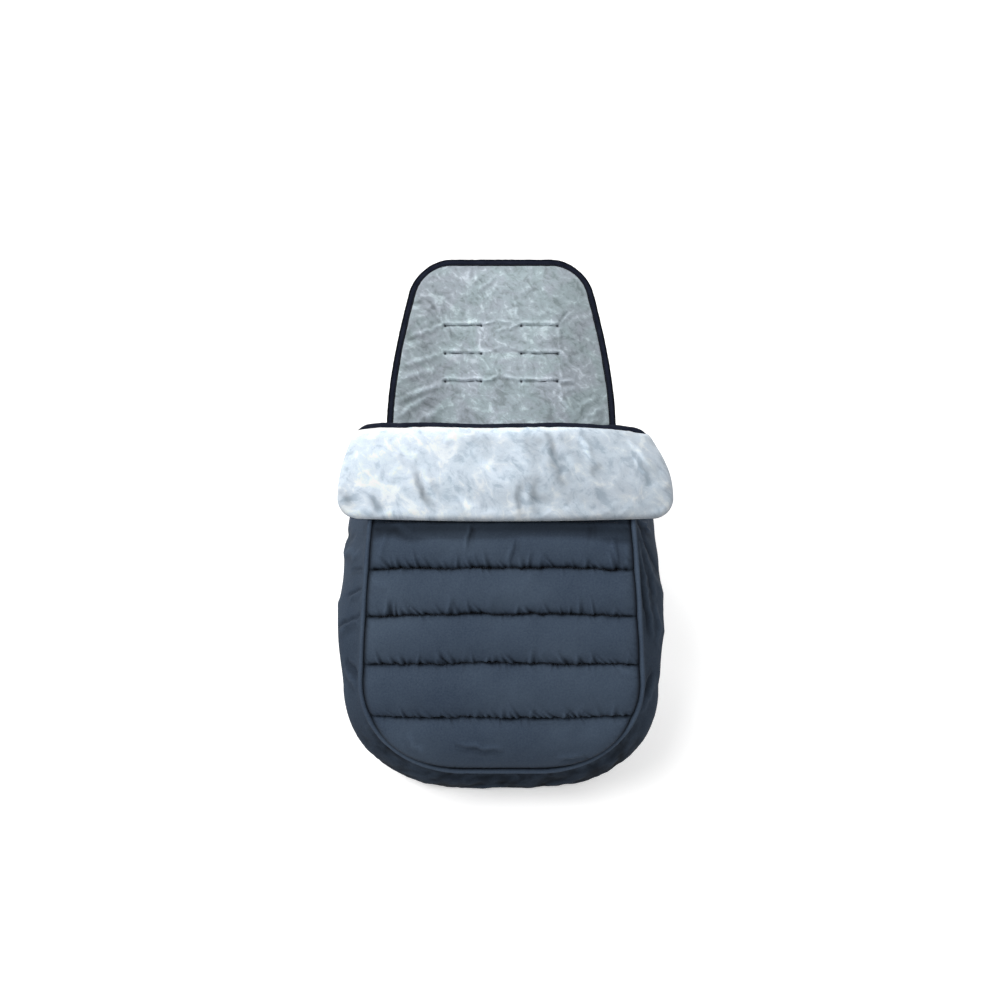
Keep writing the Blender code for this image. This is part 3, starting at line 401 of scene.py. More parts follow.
def add_mesh(name, points, faces, material, places=None, shade=None):
    """A smooth mesh object. places are each point's (across, along) on its cloth.

    shade darkens each point's colour by a share, or lightens it below 0: mostly painted shade and
    painted light, with some of the plush's own tone.
    """
    mesh = bpy.data.meshes.new(name)
    mesh.from_pydata(np.asarray(points).reshape(-1, 3).tolist(), [], faces)
    if places is not None:
        corners = np.empty(len(mesh.loops), np.int32)
        mesh.loops.foreach_get("vertex_index", corners)
        layer = mesh.uv_layers.new(name=CLOTH_MAP)
        layer.data.foreach_set("uv", np.asarray(places).reshape(-1, 2)[corners].ravel())
    if shade is not None:
        layer = mesh.attributes.new(SHADE, "FLOAT", "POINT")
        layer.data.foreach_set("value", np.asarray(shade, np.float32).ravel())
    mesh.shade_smooth()
    mesh.materials.append(material)
    obj = linked(name, mesh)
    if signed_volume(mesh) < 0:
        mesh.flip_normals()
    return obj


def signed_volume(mesh):
    mesh.calc_loop_triangles()
    corners = np.empty(len(mesh.loop_triangles) * 3, np.int32)
    mesh.loop_triangles.foreach_get("vertices", corners)
    points = np.empty(len(mesh.vertices) * 3, np.float32)
    mesh.vertices.foreach_get("co", points)
    a, b, c = points.reshape(-1, 3)[corners].reshape(-1, 3, 3).transpose(1, 0, 2)
    return float((a * np.cross(b, c)).sum())


def rim_loop(rows, columns):
    """(row, column) of each point once round a grid."""
    loop = [(0, column) for column in range(columns)]
    loop += [(row, columns - 1) for row in range(1, rows)]
    loop += [(rows - 1, column) for column in range(columns - 2, -1, -1)]
    return loop + [(row, 0) for row in range(rows - 2, 0, -1)]


def closed_panel(name, face, back, every, material, places, shade=None):
    """A closed piece with a fine face and a coarser back, joined round the rim."""
    rows, columns = face.shape[:2]
    kept_rows = sorted({*range(0, rows, every), rows - 1})
    kept_columns = sorted({*range(0, columns, every), columns - 1})
    pick = np.ix_(kept_rows, kept_columns)
    start = rows * columns
    behind = np.full((rows, columns), -1)
    behind[pick] = start + np.arange(behind[pick].size).reshape(behind[pick].shape)
    faces = grid_quads(rows, columns).tolist()
    faces += (grid_quads(*behind[pick].shape)[:, ::-1] + start).tolist()
    run = []
    before = None
    loop = rim_loop(rows, columns)
    for row, column in loop + loop[:1]:
        run.append(row * columns + column)
        here = int(behind[row, column])
        if here >= 0:
            if before is not None:
                faces.append(run[::-1] + [before, here])
            before = here
            run = run[-1:]
    points = np.concatenate([face.reshape(-1, 3), back[pick].reshape(-1, 3)])
    places = stacked(*places)
    places = np.concatenate([places.reshape(-1, 2), places[pick].reshape(-1, 2)])
    if shade is not None:
        shade = np.concatenate([shade.ravel(), np.zeros(len(places) - shade.size)])
    return add_mesh(name, points, faces, material, places, shade)


def bar_faces(count, size, start=0):
    """The faces of a closed bar through count rings of size points each."""
    index = start + np.arange(count * size).reshape(count, size)
    after = np.roll(index, -1, axis=1)
    quads = np.stack([index[:-1], after[:-1], after[1:], index[1:]], axis=-1)
    return quads.reshape(-1, 4).tolist() + [index[0, ::-1].tolist(), index[-1].tolist()]


def tube(name, rings, material, girth, shade=None):
    """A closed bar through rings of points; girth is the cloth's width round it."""
    count, size = rings.shape[:2]
    across = np.linspace(0, girth, size, endpoint=False)
    places = stacked(across[None], run_along(rings[:, 0])[:, None])
    if shade is not None:
        shade = np.broadcast_to(shade, (count, size))
    return add_mesh(name, rings, bar_faces(count, size), material, places, shade)


def rings_along(points, side, up, section):
    """Rings of a section's (side, up) places, carried along points."""
    a, b = np.array(section).T[:, None, :, None]
    return points[:, None] + a * side[:, None] + b * up[:, None]


def resampled(points, *others, step):
    """A path and what goes with it, at even steps along the path."""
    along = run_along(points)
    places = np.linspace(0, along[-1], max(2, round(along[-1] / step)))
    return [looked_up(places, along, values) for values in (points, *others)]


def looked_up(places, along, values):
    """Points or ways at places, between those known along a path."""
    return stacked(*(np.interp(places, along, column) for column in values.T))


def spans_along(points, up, pitch):
    """(start, end, way up) of each stitch along a path."""
    points, up = resampled(points, up, step=pitch)
    return list(zip(points[:-1], points[1:], up[:-1]))


def add_stitches(name, spans, material, radius=STITCH_RADIUS, cover=0.8):
    """A stitch over most of each span, diving into the cloth at both ends."""
    bows = np.array([-0.7, 0.55, 0.9, 0.55, -0.7])[:, None, None]
    swells = np.array([0.45, 1, 1, 1, 0.45])[:, None, None]
    shares = ((1 - cover) / 2 + cover * np.arange(5) / 4)[:, None, None]
    c, s = np.array(circle(6)).T[..., None]
    points = []
    faces = []
    for start, end, lift in spans:
        lift = unit(lift)
        side = np.cross(unit(end - start), lift)
        centre = start + (end - start) * shares + lift * bows * radius
        faces += bar_faces(5, 6, 30 * len(points))
        points.append(centre + radius * swells * (c * side + s * lift))
    return add_mesh(name, np.array(points), faces, material)


# The pad's shape

def pad_stretches():
    """The underside's stretches as (length, slope at the start, turn per metre)."""
    bight_cut = BIGHT_RADIUS * math.tan(BACKREST_SLOPE / 2)
    knee_cut = KNEE_RADIUS * math.tan(LEG_SLOPE / 2)
    return (
        (BACKREST_LENGTH - bight_cut, BACKREST_SLOPE, 0),
        (BIGHT_RADIUS * BACKREST_SLOPE, BACKREST_SLOPE, -1 / BIGHT_RADIUS),
        (SEAT_LENGTH - bight_cut - knee_cut, 0, 0),
        (KNEE_RADIUS * LEG_SLOPE, 0, 1 / KNEE_RADIUS),
        (LEG_LENGTH - knee_cut, LEG_SLOPE, 0),
    )


STRETCHES = pad_stretches()
PAD_STOPS = summed([stretch[0] for stretch in STRETCHES])
PAD_LENGTH = float(PAD_STOPS[-1])
BIGHT_MIDDLE = float(PAD_STOPS[1] + PAD_STOPS[2]) / 2
KNEE_MIDDLE = float(PAD_STOPS[3] + PAD_STOPS[4]) / 2
SEAT_MIDDLE = float(PAD_STOPS[2]) + SEAT_LENGTH / 2 - BIGHT_RADIUS * math.tan(BACKREST_SLOPE / 2)


def pad_line():
    """Fine (down, y, z, slope) along the underside, for looking places up."""
    down = np.linspace(0, PAD_LENGTH, 8001)
    slopes = [BACKREST_SLOPE, BACKREST_SLOPE, 0, 0, LEG_SLOPE, LEG_SLOPE]
    slope = np.interp(down, PAD_STOPS, slopes)
    middle = (slope[1:] + slope[:-1]) / 2
    step = np.diff(down)
    y = SEAT_LENGTH / 2 + BACKREST_LENGTH * math.cos(BACKREST_SLOPE)
    z = BACKREST_LENGTH * math.sin(BACKREST_SLOPE)
    y = y - summed(step * np.cos(middle))
    z = z - summed(step * np.sin(middle))
    return down, y, z, slope


PAD_LINE = pad_line()


def pad_slope(down):
    return np.interp(down, PAD_LINE[0], PAD_LINE[3])


def pad_point(x, down, height):
    """Points in the pad: x across, down from the top edge, height above the underside."""
    slope = pad_slope(down)
    y = np.interp(down, PAD_LINE[0], PAD_LINE[1]) - height * np.sin(slope)
    z = np.interp(down, PAD_LINE[0], PAD_LINE[2]) + height * np.cos(slope)
    return stacked(x, y, z)


def pad_ways(down):
    """Unit ways down the pad and off its face."""
    slope = pad_slope(down)
    return stacked(0, -np.cos(slope), -np.sin(slope)), stacked(0, -np.sin(slope), np.cos(slope))


def corner_loss(distance, radius):
    """How far a round corner draws a side in, at a distance from the end."""
    short = radius - np.clip(distance, 0, radius)
    return radius - np.sqrt(radius**2 - short**2)


def pad_side(down):
    flare = np.sin(math.pi / 2 * np.clip(down / PAD_FLARE_LENGTH, 0, 1))
    return PAD_TOP_HALF_WIDTH + (PAD_HALF_WIDTH - PAD_TOP_HALF_WIDTH) * flare


def pad_half_width(down):
    top = corner_loss(down, PAD_TOP_CORNER)
    return pad_side(down) - top - corner_loss(PAD_LENGTH - down, PAD_TOE_CORNER)


def corner_distance(side, end, radius):
    """How far a place is from the outline of a round corner."""
    inside = (side < radius) & (end < radius)
    round_it = radius - np.hypot(radius - side, radius - end)
    return np.where(inside, round_it, np.minimum(side, end))


def pad_edge_distance(x, down):
    side = pad_side(down) - np.abs(x)
    top = corner_distance(side, down, PAD_TOP_CORNER)
    return np.minimum(top, corner_distance(side, PAD_LENGTH - down, PAD_TOE_CORNER))


def pad_thickness(x, down):
    inside = pad_edge_distance(x, down) - PAD_EDGE_FLAT
    swell = 0.35 * quarter(inside / 0.008) + 0.65 * smooth(inside / PAD_ROLL)
    return PAD_EDGE_THICKNESS + (PAD_THICKNESS - PAD_EDGE_THICKNESS) * swell


# The apron's shape

def apron_angle(down):
    return APRON_TOP_ANGLE + down / APRON_RADIUS


def apron_point(x, down, height):
    """Points by the apron: x across, down from its top edge, height above its edge line."""
    angle = apron_angle(down)
    y = APRON_CENTRE[0] + (APRON_RADIUS + height) * np.cos(angle)
    z = APRON_CENTRE[1] + (APRON_RADIUS + height) * np.sin(angle)
    return stacked(x, y, z)


def apron_ways(down):
    """Unit ways up the apron and off its face."""
    angle = apron_angle(down)
    return stacked(0, np.sin(angle), -np.cos(angle)), stacked(0, np.cos(angle), np.sin(angle))


APRON_TILT = math.atan(APRON_TAPER)
CORNER_DOWN = APRON_LENGTH - APRON_CORNER
SIDE_END = CORNER_DOWN - APRON_CORNER * math.sin(APRON_TILT)


def zip_line_x(down):
    """Half the width between the zips, which grows down the apron."""
    turn = (down - APRON_LENGTH / 2) / APRON_RADIUS
    return APRON_MIDDLE_HALF_WIDTH + APRON_TAPER * (APRON_RADIUS - ZIP_DEPTH) * np.sin(turn)


CORNER_X = float(zip_line_x(SIDE_END)) - APRON_CORNER * math.cos(APRON_TILT)


def round_toe(place, tilt, flat, start, radius):
    """(x, down, way out across, way out down) on the right half of a toe.

    place is 1 at its round corner's start, 2 at the corner's end and 3 in the middle.
    """
    if place <= 2:
        turn = -tilt + (math.pi / 2 + tilt) * (place - 1)
        c = math.cos(turn)
        s = math.sin(turn)
        return flat + radius * c, start + radius * s, c, s
    return flat * (3 - place), start + radius, 0, 1


def zip_line(place):
    """The same along the zip line, where place is 0 at the top."""
    if place > 1:
        return round_toe(place, APRON_TILT, CORNER_X, CORNER_DOWN, APRON_CORNER)
    down = SIDE_END * place
    return float(zip_line_x(down)), down, math.cos(APRON_TILT), -math.sin(APRON_TILT)


def rim_frame(side, place):
    """(point on the zip line at the apron's edge height, way out, way up)."""
    x, down, out_x, out_down = zip_line(place)
    way_up, up = apron_ways(down)
    return apron_point(side * x, down, 0), np.array([side * out_x, 0, 0]) - out_down * way_up, up


def rim_path(step, start=0):
    """Points, ways out and ways up along the zip line, from left top to right top."""
    places = [*np.linspace(start, 1, 160, endpoint=False), *np.linspace(1, 3, 140)]
    frames = [rim_frame(-1, place) for place in places]
    frames += [rim_frame(1, place) for place in places[-2::-1]]
    return resampled(*(np.array(column) for column in zip(*frames)), step=step)


def apron_half_width(down, tuck):
    radius = APRON_CORNER - tuck
    drop = np.clip(down - CORNER_DOWN, 0, radius)
    low = CORNER_X + np.sqrt(np.maximum(radius**2 - drop**2, 0))
    return np.where(down <= SIDE_END, zip_line_x(down) - tuck, low)


TOP_HALF_WIDTH = float(apron_half_width(0.0, LINING_TUCK))


def apron_crown(x, down):
    """The apron bows up between its zips, and comes down to the piping at the toe."""
    across = 1 - (x / zip_line_x(np.minimum(down, SIDE_END))) ** 2
    return APRON_CROWN * across * smooth((APRON_LENGTH - down) / 0.090)


def fold_lift(x):
    """How far the cuff's fold stands above the apron's crown: the cuff is stiff and flat."""
    places = (-0.235, -0.200, -0.185, -0.100, -0.028, 0.050, 0.080, 0.137, 0.175, 0.200)
    lifts = (0.002, 0.010, 0.013, 0.009, 0.001, 0.005, 0.008, 0.008, 0.006, 0.001)
    shifts = (-0.016, -0.008, 0, 0.008, 0.016)
    return sum(np.interp(x + shift, places, lifts) for shift in shifts) / len(shifts)


def top_lift(x, down):
    """How far the fold draws up the apron's top edge, between its zips."""
    inside = smooth((apron_half_width(down, LINING_TUCK) - np.abs(x)) / 0.030)
    return fold_lift(x) * inside * (1 - smooth(down / 0.10))


SEAMS = np.array(SEAM_SHARES) * APRON_LENGTH
CHANNEL_EDGES = np.concatenate([[APRON_HEM], SEAMS, [APRON_LENGTH - EDGE_TUCK]])


def apron_edge_distance(x, down):
    side = apron_half_width(down, EDGE_TUCK) - np.abs(x)
    straight = np.minimum(side, APRON_LENGTH - EDGE_TUCK - down)
    across = np.abs(x) - CORNER_X
    along = down - CORNER_DOWN
    round_it = APRON_CORNER - EDGE_TUCK - np.hypot(across, along)
    return np.where((across > 0) & (along > 0), round_it, straight)


def apron_edge_run(x, down):
    """The distance down one side and round its corner, below 0 on the left."""
    across = np.abs(x) - CORNER_X
    along = down - CORNER_DOWN
    turn = np.arctan2(np.maximum(along, 0), np.maximum(across, 1e-6))
    round_it = CORNER_DOWN + APRON_CORNER * turn
    toe = CORNER_DOWN + APRON_CORNER * math.pi / 2 - across
    run = np.where(along < 0, down, np.where(across > 0, round_it, toe))
    return np.sign(x) * run


def quilt_puff(x, down):
    """How far a quilted channel stands above its seams."""
    index = np.clip(np.searchsorted(CHANNEL_EDGES, down, side="right") - 1, 0, 6)
    start = CHANNEL_EDGES[index]
    end = CHANNEL_EDGES[index + 1]
    phase = np.clip((down - start) / (end - start), 0, 1)
    hidden = end < CUFF_START + CUFF_LENGTH
    height = np.where(hidden, QUILT_PUFF_HIDDEN, QUILT_PUFF)
    swell = np.sin(math.pi * phase) ** 0.62
    return height * swell * quarter(apron_edge_distance(x, down) / QUILT_ROLL)


# Materials

class Shader:
    """Builds the nodes of one material, or of the world, with short calls."""

    def __init__(self, name, owners=bpy.data.materials, surface="Principled BSDF"):
        self.owner = owners.new(name)
        self.owner.use_nodes = True
        self.tree = self.owner.node_tree
        self.surface = self.tree.nodes[surface]

    def node(self, kind, output, sockets, **settings):
        """One output of a new node, whose sockets are set by name or number."""
        made = self.tree.nodes.new("ShaderNode" + kind)
        for key, value in settings.items():
            setattr(made, key, value)
        for key, value in sockets.items():
            self.set(made, key, value)
        return made.outputs[output]

    def set(self, node, key, value):
        if isinstance(value, bpy.types.NodeSocket):
            self.tree.links.new(value, node.inputs[key])
        else:
            node.inputs[key].default_value = value

    def finish(self, **sockets):
        for key, value in sockets.items():
            self.set(self.surface, key.replace("_", " "), value)
        return self.owner

    def cloth_place(self, scale=(1, 1, 1), turn=0.0):
        """Places on the cloth, turned and then stretched."""
        place = self.node("UVMap", "UV", {}, uv_map=CLOTH_MAP)
        place = self.node("Mapping", "Vector", {"Vector": place, "Rotation": (0, 0, turn)})
        return self.node("Mapping", "Vector", {"Vector": place, "Scale": scale})

    def object_place(self):
        return self.node("TexCoord", "Object", {})

    def noise(self, place, scale, detail=2.0, roughness=0.5, distortion=0.0):
        keys = ("Vector", "Scale", "Detail", "Roughness", "Distortion")
        values = (place, scale, detail, roughness, distortion)
        return self.node("TexNoise", "Fac", dict(zip(keys, values)))

    def bands(self, place, scale, direction):
        sockets = {"Vector": place, "Scale": scale}
        return self.node("TexWave", "Fac", sockets, bands_direction=direction)

    def maths(self, operation, a, b=0.5, c=0.5):
        return self.node("Math", 0, {0: a, 1: b, 2: c}, operation=operation)

    def ranged(self, value, *limits):
        """The value carried from the first two limits to the last two."""
        keys = ("Value", "From Min", "From Max", "To Min", "To Max")
        return self.node("MapRange", "Result", dict(zip(keys, (value, *limits))))

    def blend(self, share, a, b, kind="MIX"):
        settings = {"data_type": "RGBA", "blend_type": kind, "clamp_result": True}
        return self.node("Mix", 2, {0: share, 6: a, 7: b}, **settings)

    def grey(self, value):
        return self.node("CombineColor", "Color", dict.fromkeys(("Red", "Green", "Blue"), value))

    def two_tone(self, share, low, high, start=0.3, end=0.7):
        """One screen colour below start, another above end, and a blend between."""
        return self.blend(self.ranged(share, start, end, 0, 1), rgb(*low), rgb(*high))

    def seen_by(self, *rays):
        """1 to these kinds of ray, and 0 to the others."""
        seen = 0
        for ray in rays:
            seen = self.maths("MAXIMUM", seen, self.node("LightPath", f"Is {ray} Ray", {}))
        return seen

    def shaded(self, colour):
        """The colour, darkened by painted shade or lightened by painted light from the mesh's shade
        attribute.
        """
        shade = self.node("Attribute", "Fac", {}, attribute_name=SHADE)
        return self.blend(1.0, colour, self.grey(self.maths("SUBTRACT", 1.0, shade)), "MULTIPLY")

    def bump(self, height, strength, distance, below=None):
        sockets = {"Height": height, "Strength": strength, "Distance": distance}
        if below is not None:
            sockets["Normal"] = below
        return self.node("Bump", "Normal", sockets)


def rgb(red, green, blue):
    """A linear colour from the screen's 0 to 255 values."""
    shares = [value / 255 for value in (red, green, blue)]
    linear = [s / 12.92 if s <= 0.04045 else ((s + 0.055) / 1.055) ** 2.4 for s in shares]
    return (*linear, 1)


def shell_material():
    """Tightly woven polyester: matt sheen, a fine weave and a faint unevenness."""
    s = Shader("shell_cloth")
    place = s.object_place()
    cloth = s.cloth_place()
    weave = s.maths("MULTIPLY", s.bands(cloth, 560, "X"), s.bands(cloth, 560, "Y"))
    tone = s.noise(place, 9, 3, 0.55)
    grain = s.noise(place, 420, 2, 0.6)
    share = s.maths("MULTIPLY_ADD", grain, 0.45, s.maths("MULTIPLY", tone, 0.62))
    creases = s.bump(s.noise(place, 65, 4, 0.6, 0.4), 0.25, 0.0012)
    return s.finish(
        Base_Color=s.shaded(s.two_tone(share, (54, 66, 83), (75, 88, 104), 0.32, 0.75)),
        Roughness=s.ranged(tone, 0.3, 0.7, 0.66, 0.78),
        Normal=s.bump(weave, 0.22, 0.00012, creases),
        Sheen_Weight=0.015,
        Sheen_Roughness=0.45,
        Specular_IOR_Level=0.05,
    )


def plush_material(name, colours, tints, coarse, limits, weights):
    """Short brushed pile: its nap lies in strokes that are lighter or darker."""
    s = Shader(name)
    cloth = s.cloth_place()
    patches = s.noise(cloth, coarse, 4, 0.6, 1.6)
    brushed = s.noise(s.cloth_place((1, 0.6, 1), 0.9), coarse * 3.2, 4, 0.6, 1.5)
    marks = s.noise(s.cloth_place((0.5, 1, 1), 0.35), coarse * 8, 3, 0.6, 1.0)
    fibre = s.noise(cloth, 620, 3, 0.7)
    tips = s.noise(s.cloth_place((1, 0.7, 1), 0.9), 1500, 2, 0.6)
    nap = s.maths("MULTIPLY_ADD", brushed, weights[1], s.maths("MULTIPLY", patches, weights[0]))
    nap = s.maths("MULTIPLY_ADD", marks, weights[2], nap)
    colour = s.node("ValToRGB", "Color", {"Fac": s.ranged(nap, *limits, 0, 1)})
    ramp = colour.node.color_ramp
    ramp.interpolation = "EASE"
    ramp.elements.new(0.5)
    for stop, screen in zip(ramp.elements, colours):
        stop.color = rgb(*screen)
    grain = s.ranged(s.maths("MULTIPLY_ADD", tips, 0.5, fibre), 0.4, 1.1, 0.88, 1.05)
    colour = s.blend(1.0, colour, s.grey(grain), "MULTIPLY")
    hue = s.ranged(s.noise(cloth, 15, 3, 0.6, 1.0), 0.40, 0.60, 0, 1)
    colour = s.blend(1.0, colour, s.blend(hue, *tints), "MULTIPLY")
    lie = s.bump(nap, 0.30, 0.005)
    return s.finish(
        Base_Color=s.shaded(colour),
        Roughness=0.92,
        Normal=s.bump(s.maths("ADD", fibre, tips), 0.50, 0.0007, lie),
        Sheen_Weight=0.30,
        Sheen_Roughness=0.5,
        Specular_IOR_Level=0.2,
    )


def tape_material():
    """Ribbed binding tape, nearly black."""
    s = Shader("binding_tape_cloth")
    tone = s.noise(s.object_place(), 60, 3, 0.6)
    return s.finish(
        Base_Color=s.shaded(s.two_tone(tone, (22, 26, 38), (36, 40, 53))),
        Roughness=s.ranged(tone, 0.3, 0.7, 0.66, 0.8),
        Normal=s.bump(s.bands(s.cloth_place(), 330, "Y"), 0.3, 0.0002),
        Specular_IOR_Level=0.03,
    )


def thread_material():
    """Twisted sewing thread."""
    s = Shader("dark_thread")
    twist = s.noise(s.object_place(), 900, 2, 0.5)
    colour = s.two_tone(twist, (26, 30, 42), (46, 52, 66))
    return s.finish(Base_Color=colour, Roughness=0.55, Normal=s.bump(twist, 0.4, 0.0002))


def zip_tape_material():
    """Woven tape with a diagonal twill."""
    s = Shader("zip_tape_cloth")
    sockets = {"Vector": s.object_place(), "Rotation": (0.5, 0.6, 0.8)}
    twill = s.bands(s.node("Mapping", "Vector", sockets), 300, "DIAGONAL")
    colour = s.two_tone(s.noise(s.object_place(), 120, 2, 0.5), (22, 25, 33), (36, 40, 50))
    return s.finish(Base_Color=colour, Roughness=0.72, Normal=s.bump(twill, 0.3, 0.0002))


def coil_material():
    s = Shader("zip_coil_plastic")
    tone = s.noise(s.object_place(), 300, 2, 0.5)
    return s.finish(
        Base_Color=s.two_tone(tone, (20, 21, 25), (34, 36, 42)),
        Roughness=s.ranged(tone, 0.3, 0.7, 0.3, 0.42),
        Normal=s.bump(tone, 0.1, 0.0001),
    )


def metal_material():
    """Black painted die-cast metal."""
    s = Shader("slider_painted_metal")
    tone = s.noise(s.object_place(), 260, 4, 0.6)
    spots = s.noise(s.object_place(), 1300, 3, 0.6)
    return s.finish(
        Base_Color=s.two_tone(tone, (30, 31, 34), (52, 53, 58), 0.35, 0.65),
        Metallic=0.75,
        Roughness=s.ranged(spots, 0.3, 0.7, 0.28, 0.46),
        Normal=s.bump(spots, 0.12, 0.0001),
    )


def dress(obj, body, slot, *nodes):
    """Puts a piece on its body, in place of the solids named. slot is not used."""
    if nodes:
        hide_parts(*nodes)
    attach(obj, body)


# Pad pieces

SLOT_REACH = np.array([0.35, 0.7, 1.05, 1.6, 2.4, 3.6, 5.2]) * 0.001


def around(places):
    """Rows close on both sides of each slot or seam."""
    rows = [np.array([place]) for place in places]
    rows += [place + side * SLOT_REACH for place in places for side in (-1, 1)]
    return np.concatenate(rows)


def pad_downs(fine, drift):
    """Distances down the pad, close together where the pad shows."""
    slots = [row - drift for row in SLOT_ROWS]
    places = [
        turned(PAD_TOP_CORNER, 34),
        spread(PAD_TOP_CORNER, PAD_SHOWN, fine),
        spread(PAD_SHOWN, PAD_LENGTH - PAD_TOE_CORNER, 0.0048),
        around([*slots, SEAT_MIDDLE + CROTCH_SLOT_AHEAD, BIGHT_MIDDLE, KNEE_MIDDLE]),
        PAD_LENGTH - turned(PAD_TOE_CORNER, 26),
        np.array([PAD_LENGTH]),
    ]
    return merged(places, 0.0003)


def pad_grid(fine, drift=0.0):
    """x and down of the pad's grid. Its inner columns keep to the slots' ends."""
    downs = pad_downs(fine, drift)[:, None]
    half = pad_half_width(downs)
    inner = SLOT_STEP * np.arange(-66, 67)[None] * np.minimum(1, half / 0.120)
    reach = (half - inner[:, -1:]) * np.linspace(0, 1, 40)[None, 1:]
    right = inner[:, -1:] + reach
    x = np.concatenate([-right[:, ::-1], inner, right], axis=1)
    return x, np.broadcast_to(downs, x.shape)


def slot_gap(x, seed):
    """Half the opening of a slot, whose lips close in places."""
    return 0.00022 + 0.00042 * strip_noise(x, 0.005, seed, 5)


def pad_slots():
    """(name, middle x, middle down, half length across, half length down)."""
    middle = (SLOT_INNER + SLOT_OUTER) / 2
    half = (SLOT_OUTER - SLOT_INNER) / 2
    slots = []
    for row, down in enumerate(SLOT_ROWS):
        for side, way in SIDES:
            slots.append((f"harness_slot_stitching_{side}_{row + 1}", way * middle, down, half, 0))
    crotch = SEAT_MIDDLE + CROTCH_SLOT_AHEAD
    slots.append(("crotch_slot_stitching", 0, crotch, CROTCH_SLOT_HALF, 0))
    waist = SEAT_MIDDLE - WAIST_SLOT_BEHIND
    for side, way in SIDES:
        name = f"waist_slot_stitching_{side}"
        slots.append((name, way * WAIST_SLOT_OUT, waist, 0, WAIST_SLOT_HALF))
    return slots


def slot_drift(down, height):
    """A slot in the backrest runs level, so it meets each layer at another place."""
    slope = pad_slope(down)
    return np.where(slope > 0.1, (PAD_THICKNESS - height) / np.tan(np.maximum(slope, 0.1)), 0)


def slot_relief(x, down, drift):
    """(relief, shade) of the slits: thin cuts below a raised lip, with painted shade in each cut
    and in a dimple at each end; the lips are paler partly from their pile and partly from painted
    light.
    """
    total = np.zeros(x.shape)
    shade = np.zeros(x.shape)
    for index, (_, slot_x, slot_down, across, along) in enumerate(pad_slots()):
        length = max(across, along)
        if across:
            off = down - (slot_down - drift)
            place = x - slot_x
        else:
            off = x - slot_x
            place = down - slot_down
        off = off - 0.0012 * strip_noise(place, 0.020, index, 6)
        run = np.abs(place) / length
        inside = np.clip((1.001 - run) * 30, 0, 1)
        gap = np.maximum(slot_gap(place, index), 0.00012)
        cut = 1 - smooth((np.abs(off) - gap * 0.55) / (gap * 0.9 + 0.0002))
        beside = np.clip(1.25 - run, 0, 0.25) * 4
        uneven = 1 + 0.5 * strip_noise(place, 0.010, index, 9)
        dot = bell(np.hypot(off, (run - 1) * length), 0.0017)
        dimple = bell(np.hypot(off, (run - 1) * length), 0.0050)
        total -= SLOT_DEPTH * cut * inside * np.clip((gap - 0.00013) / 0.0002, 0, 1)
        total += 0.0022 * uneven * beside * bell(off + 0.0042, 0.0030)
        total -= 0.0010 * beside * bell(off - 0.0022, 0.0040)
        total -= 0.0012 * dimple + 0.0030 * dot
        # Painted shade in the cut, painted light on the lips above and below it, and painted shade
        # in the dimple at each end.
        shade += inside * np.clip(gap / 0.0005, 0.40, 1) * 0.60 * bell(off, 0.0006)
        shade -= 0.30 * uneven * beside * bell(off + 0.0046, 0.0034)
        shade -= 0.10 * uneven * beside * bell(off - 0.0030, 0.0022)
        shade += 0.85 * dot
    return total, shade


PAD_FOLDS = (
    (-159, 131, -96, 112, 3.2, 2.2), (-165, 150, -120, 137, 4, 1.2),
    (-171, 178, -99, 160, 3.8, 2.2), (-176, 204, -110, 184, 4.6, 2), (-178, 238, -96, 207, 4.5, 3),
    (-174, 262, -110, 226, 4.2, 2.6), (-160, 284, -92, 244, 5, 1.8), (-114, 84, -97, 106, 2.6, 1.6),
    (-130, 96, -112, 74, 3, 1.2), (-34, 113, -10, 103, 2.4, 2.2), (-12, 103, 33, 110.5, 2.4, 1.4),
    (-12, 120, 14, 117, 2.6, 1.4), (12, 118, 33, 110, 2.4, 1.8), (-34, 160, 0, 146, 3, 1.6),
    (0, 147, 40, 150, 3.4, 1.2), (-34, 207, 0, 193, 3.2, 2.8), (-2, 193, 34, 205, 3, 2.4),
    (-20, 212, 20, 216, 4, -1.2), (93, 112, 109, 88, 2.2, -2), (98, 110, 116, 90, 2.6, 1.8),
    (98, 151, 94, 116, 2.6, 1.8), (112, 170, 95, 153, 2.8, 2), (98, 202, 96, 166, 2.6, 1.4),
    (94, 206, 122, 205, 2.8, 2.2), (102, 236, 95, 208, 2.6, 2.4), (124, 214, 100, 222, 4, 1.6),
    (122, 262, 94, 230, 3, 2.2), (130, 276, 172, 244, 4.2, 1.8), (112, 292, 168, 262, 4, 1.6),
    (120, 256, 160, 228, 4, 1.2), (-36, 150, -35, 118, 2.2, 1), (-84, 135, -94, 116, 2.2, 1.2),
    (-70, 132, -84, 114, 2.2, 1), (-58, 36, -50, 14, 2.4, 1.6), (-30, 58, -44, 26, 2.4, 1.8),
    (-40, 56, -8, 28, 2.4, 1.8), (-30, 72, -10, 50, 2.6, 1.4), (-50, 40, -30, 36, 2.2, -1.4),
    (24, 98, 24, 70, 2.6, 1.6), (24, 98, 34, 104, 2.4, 1.2), (30, 60, 52, 40, 4, 1.2),
    (-120, 60, -100, 86, 3.6, 1), (60, 94, 86, 86, 4, 1.2),
)


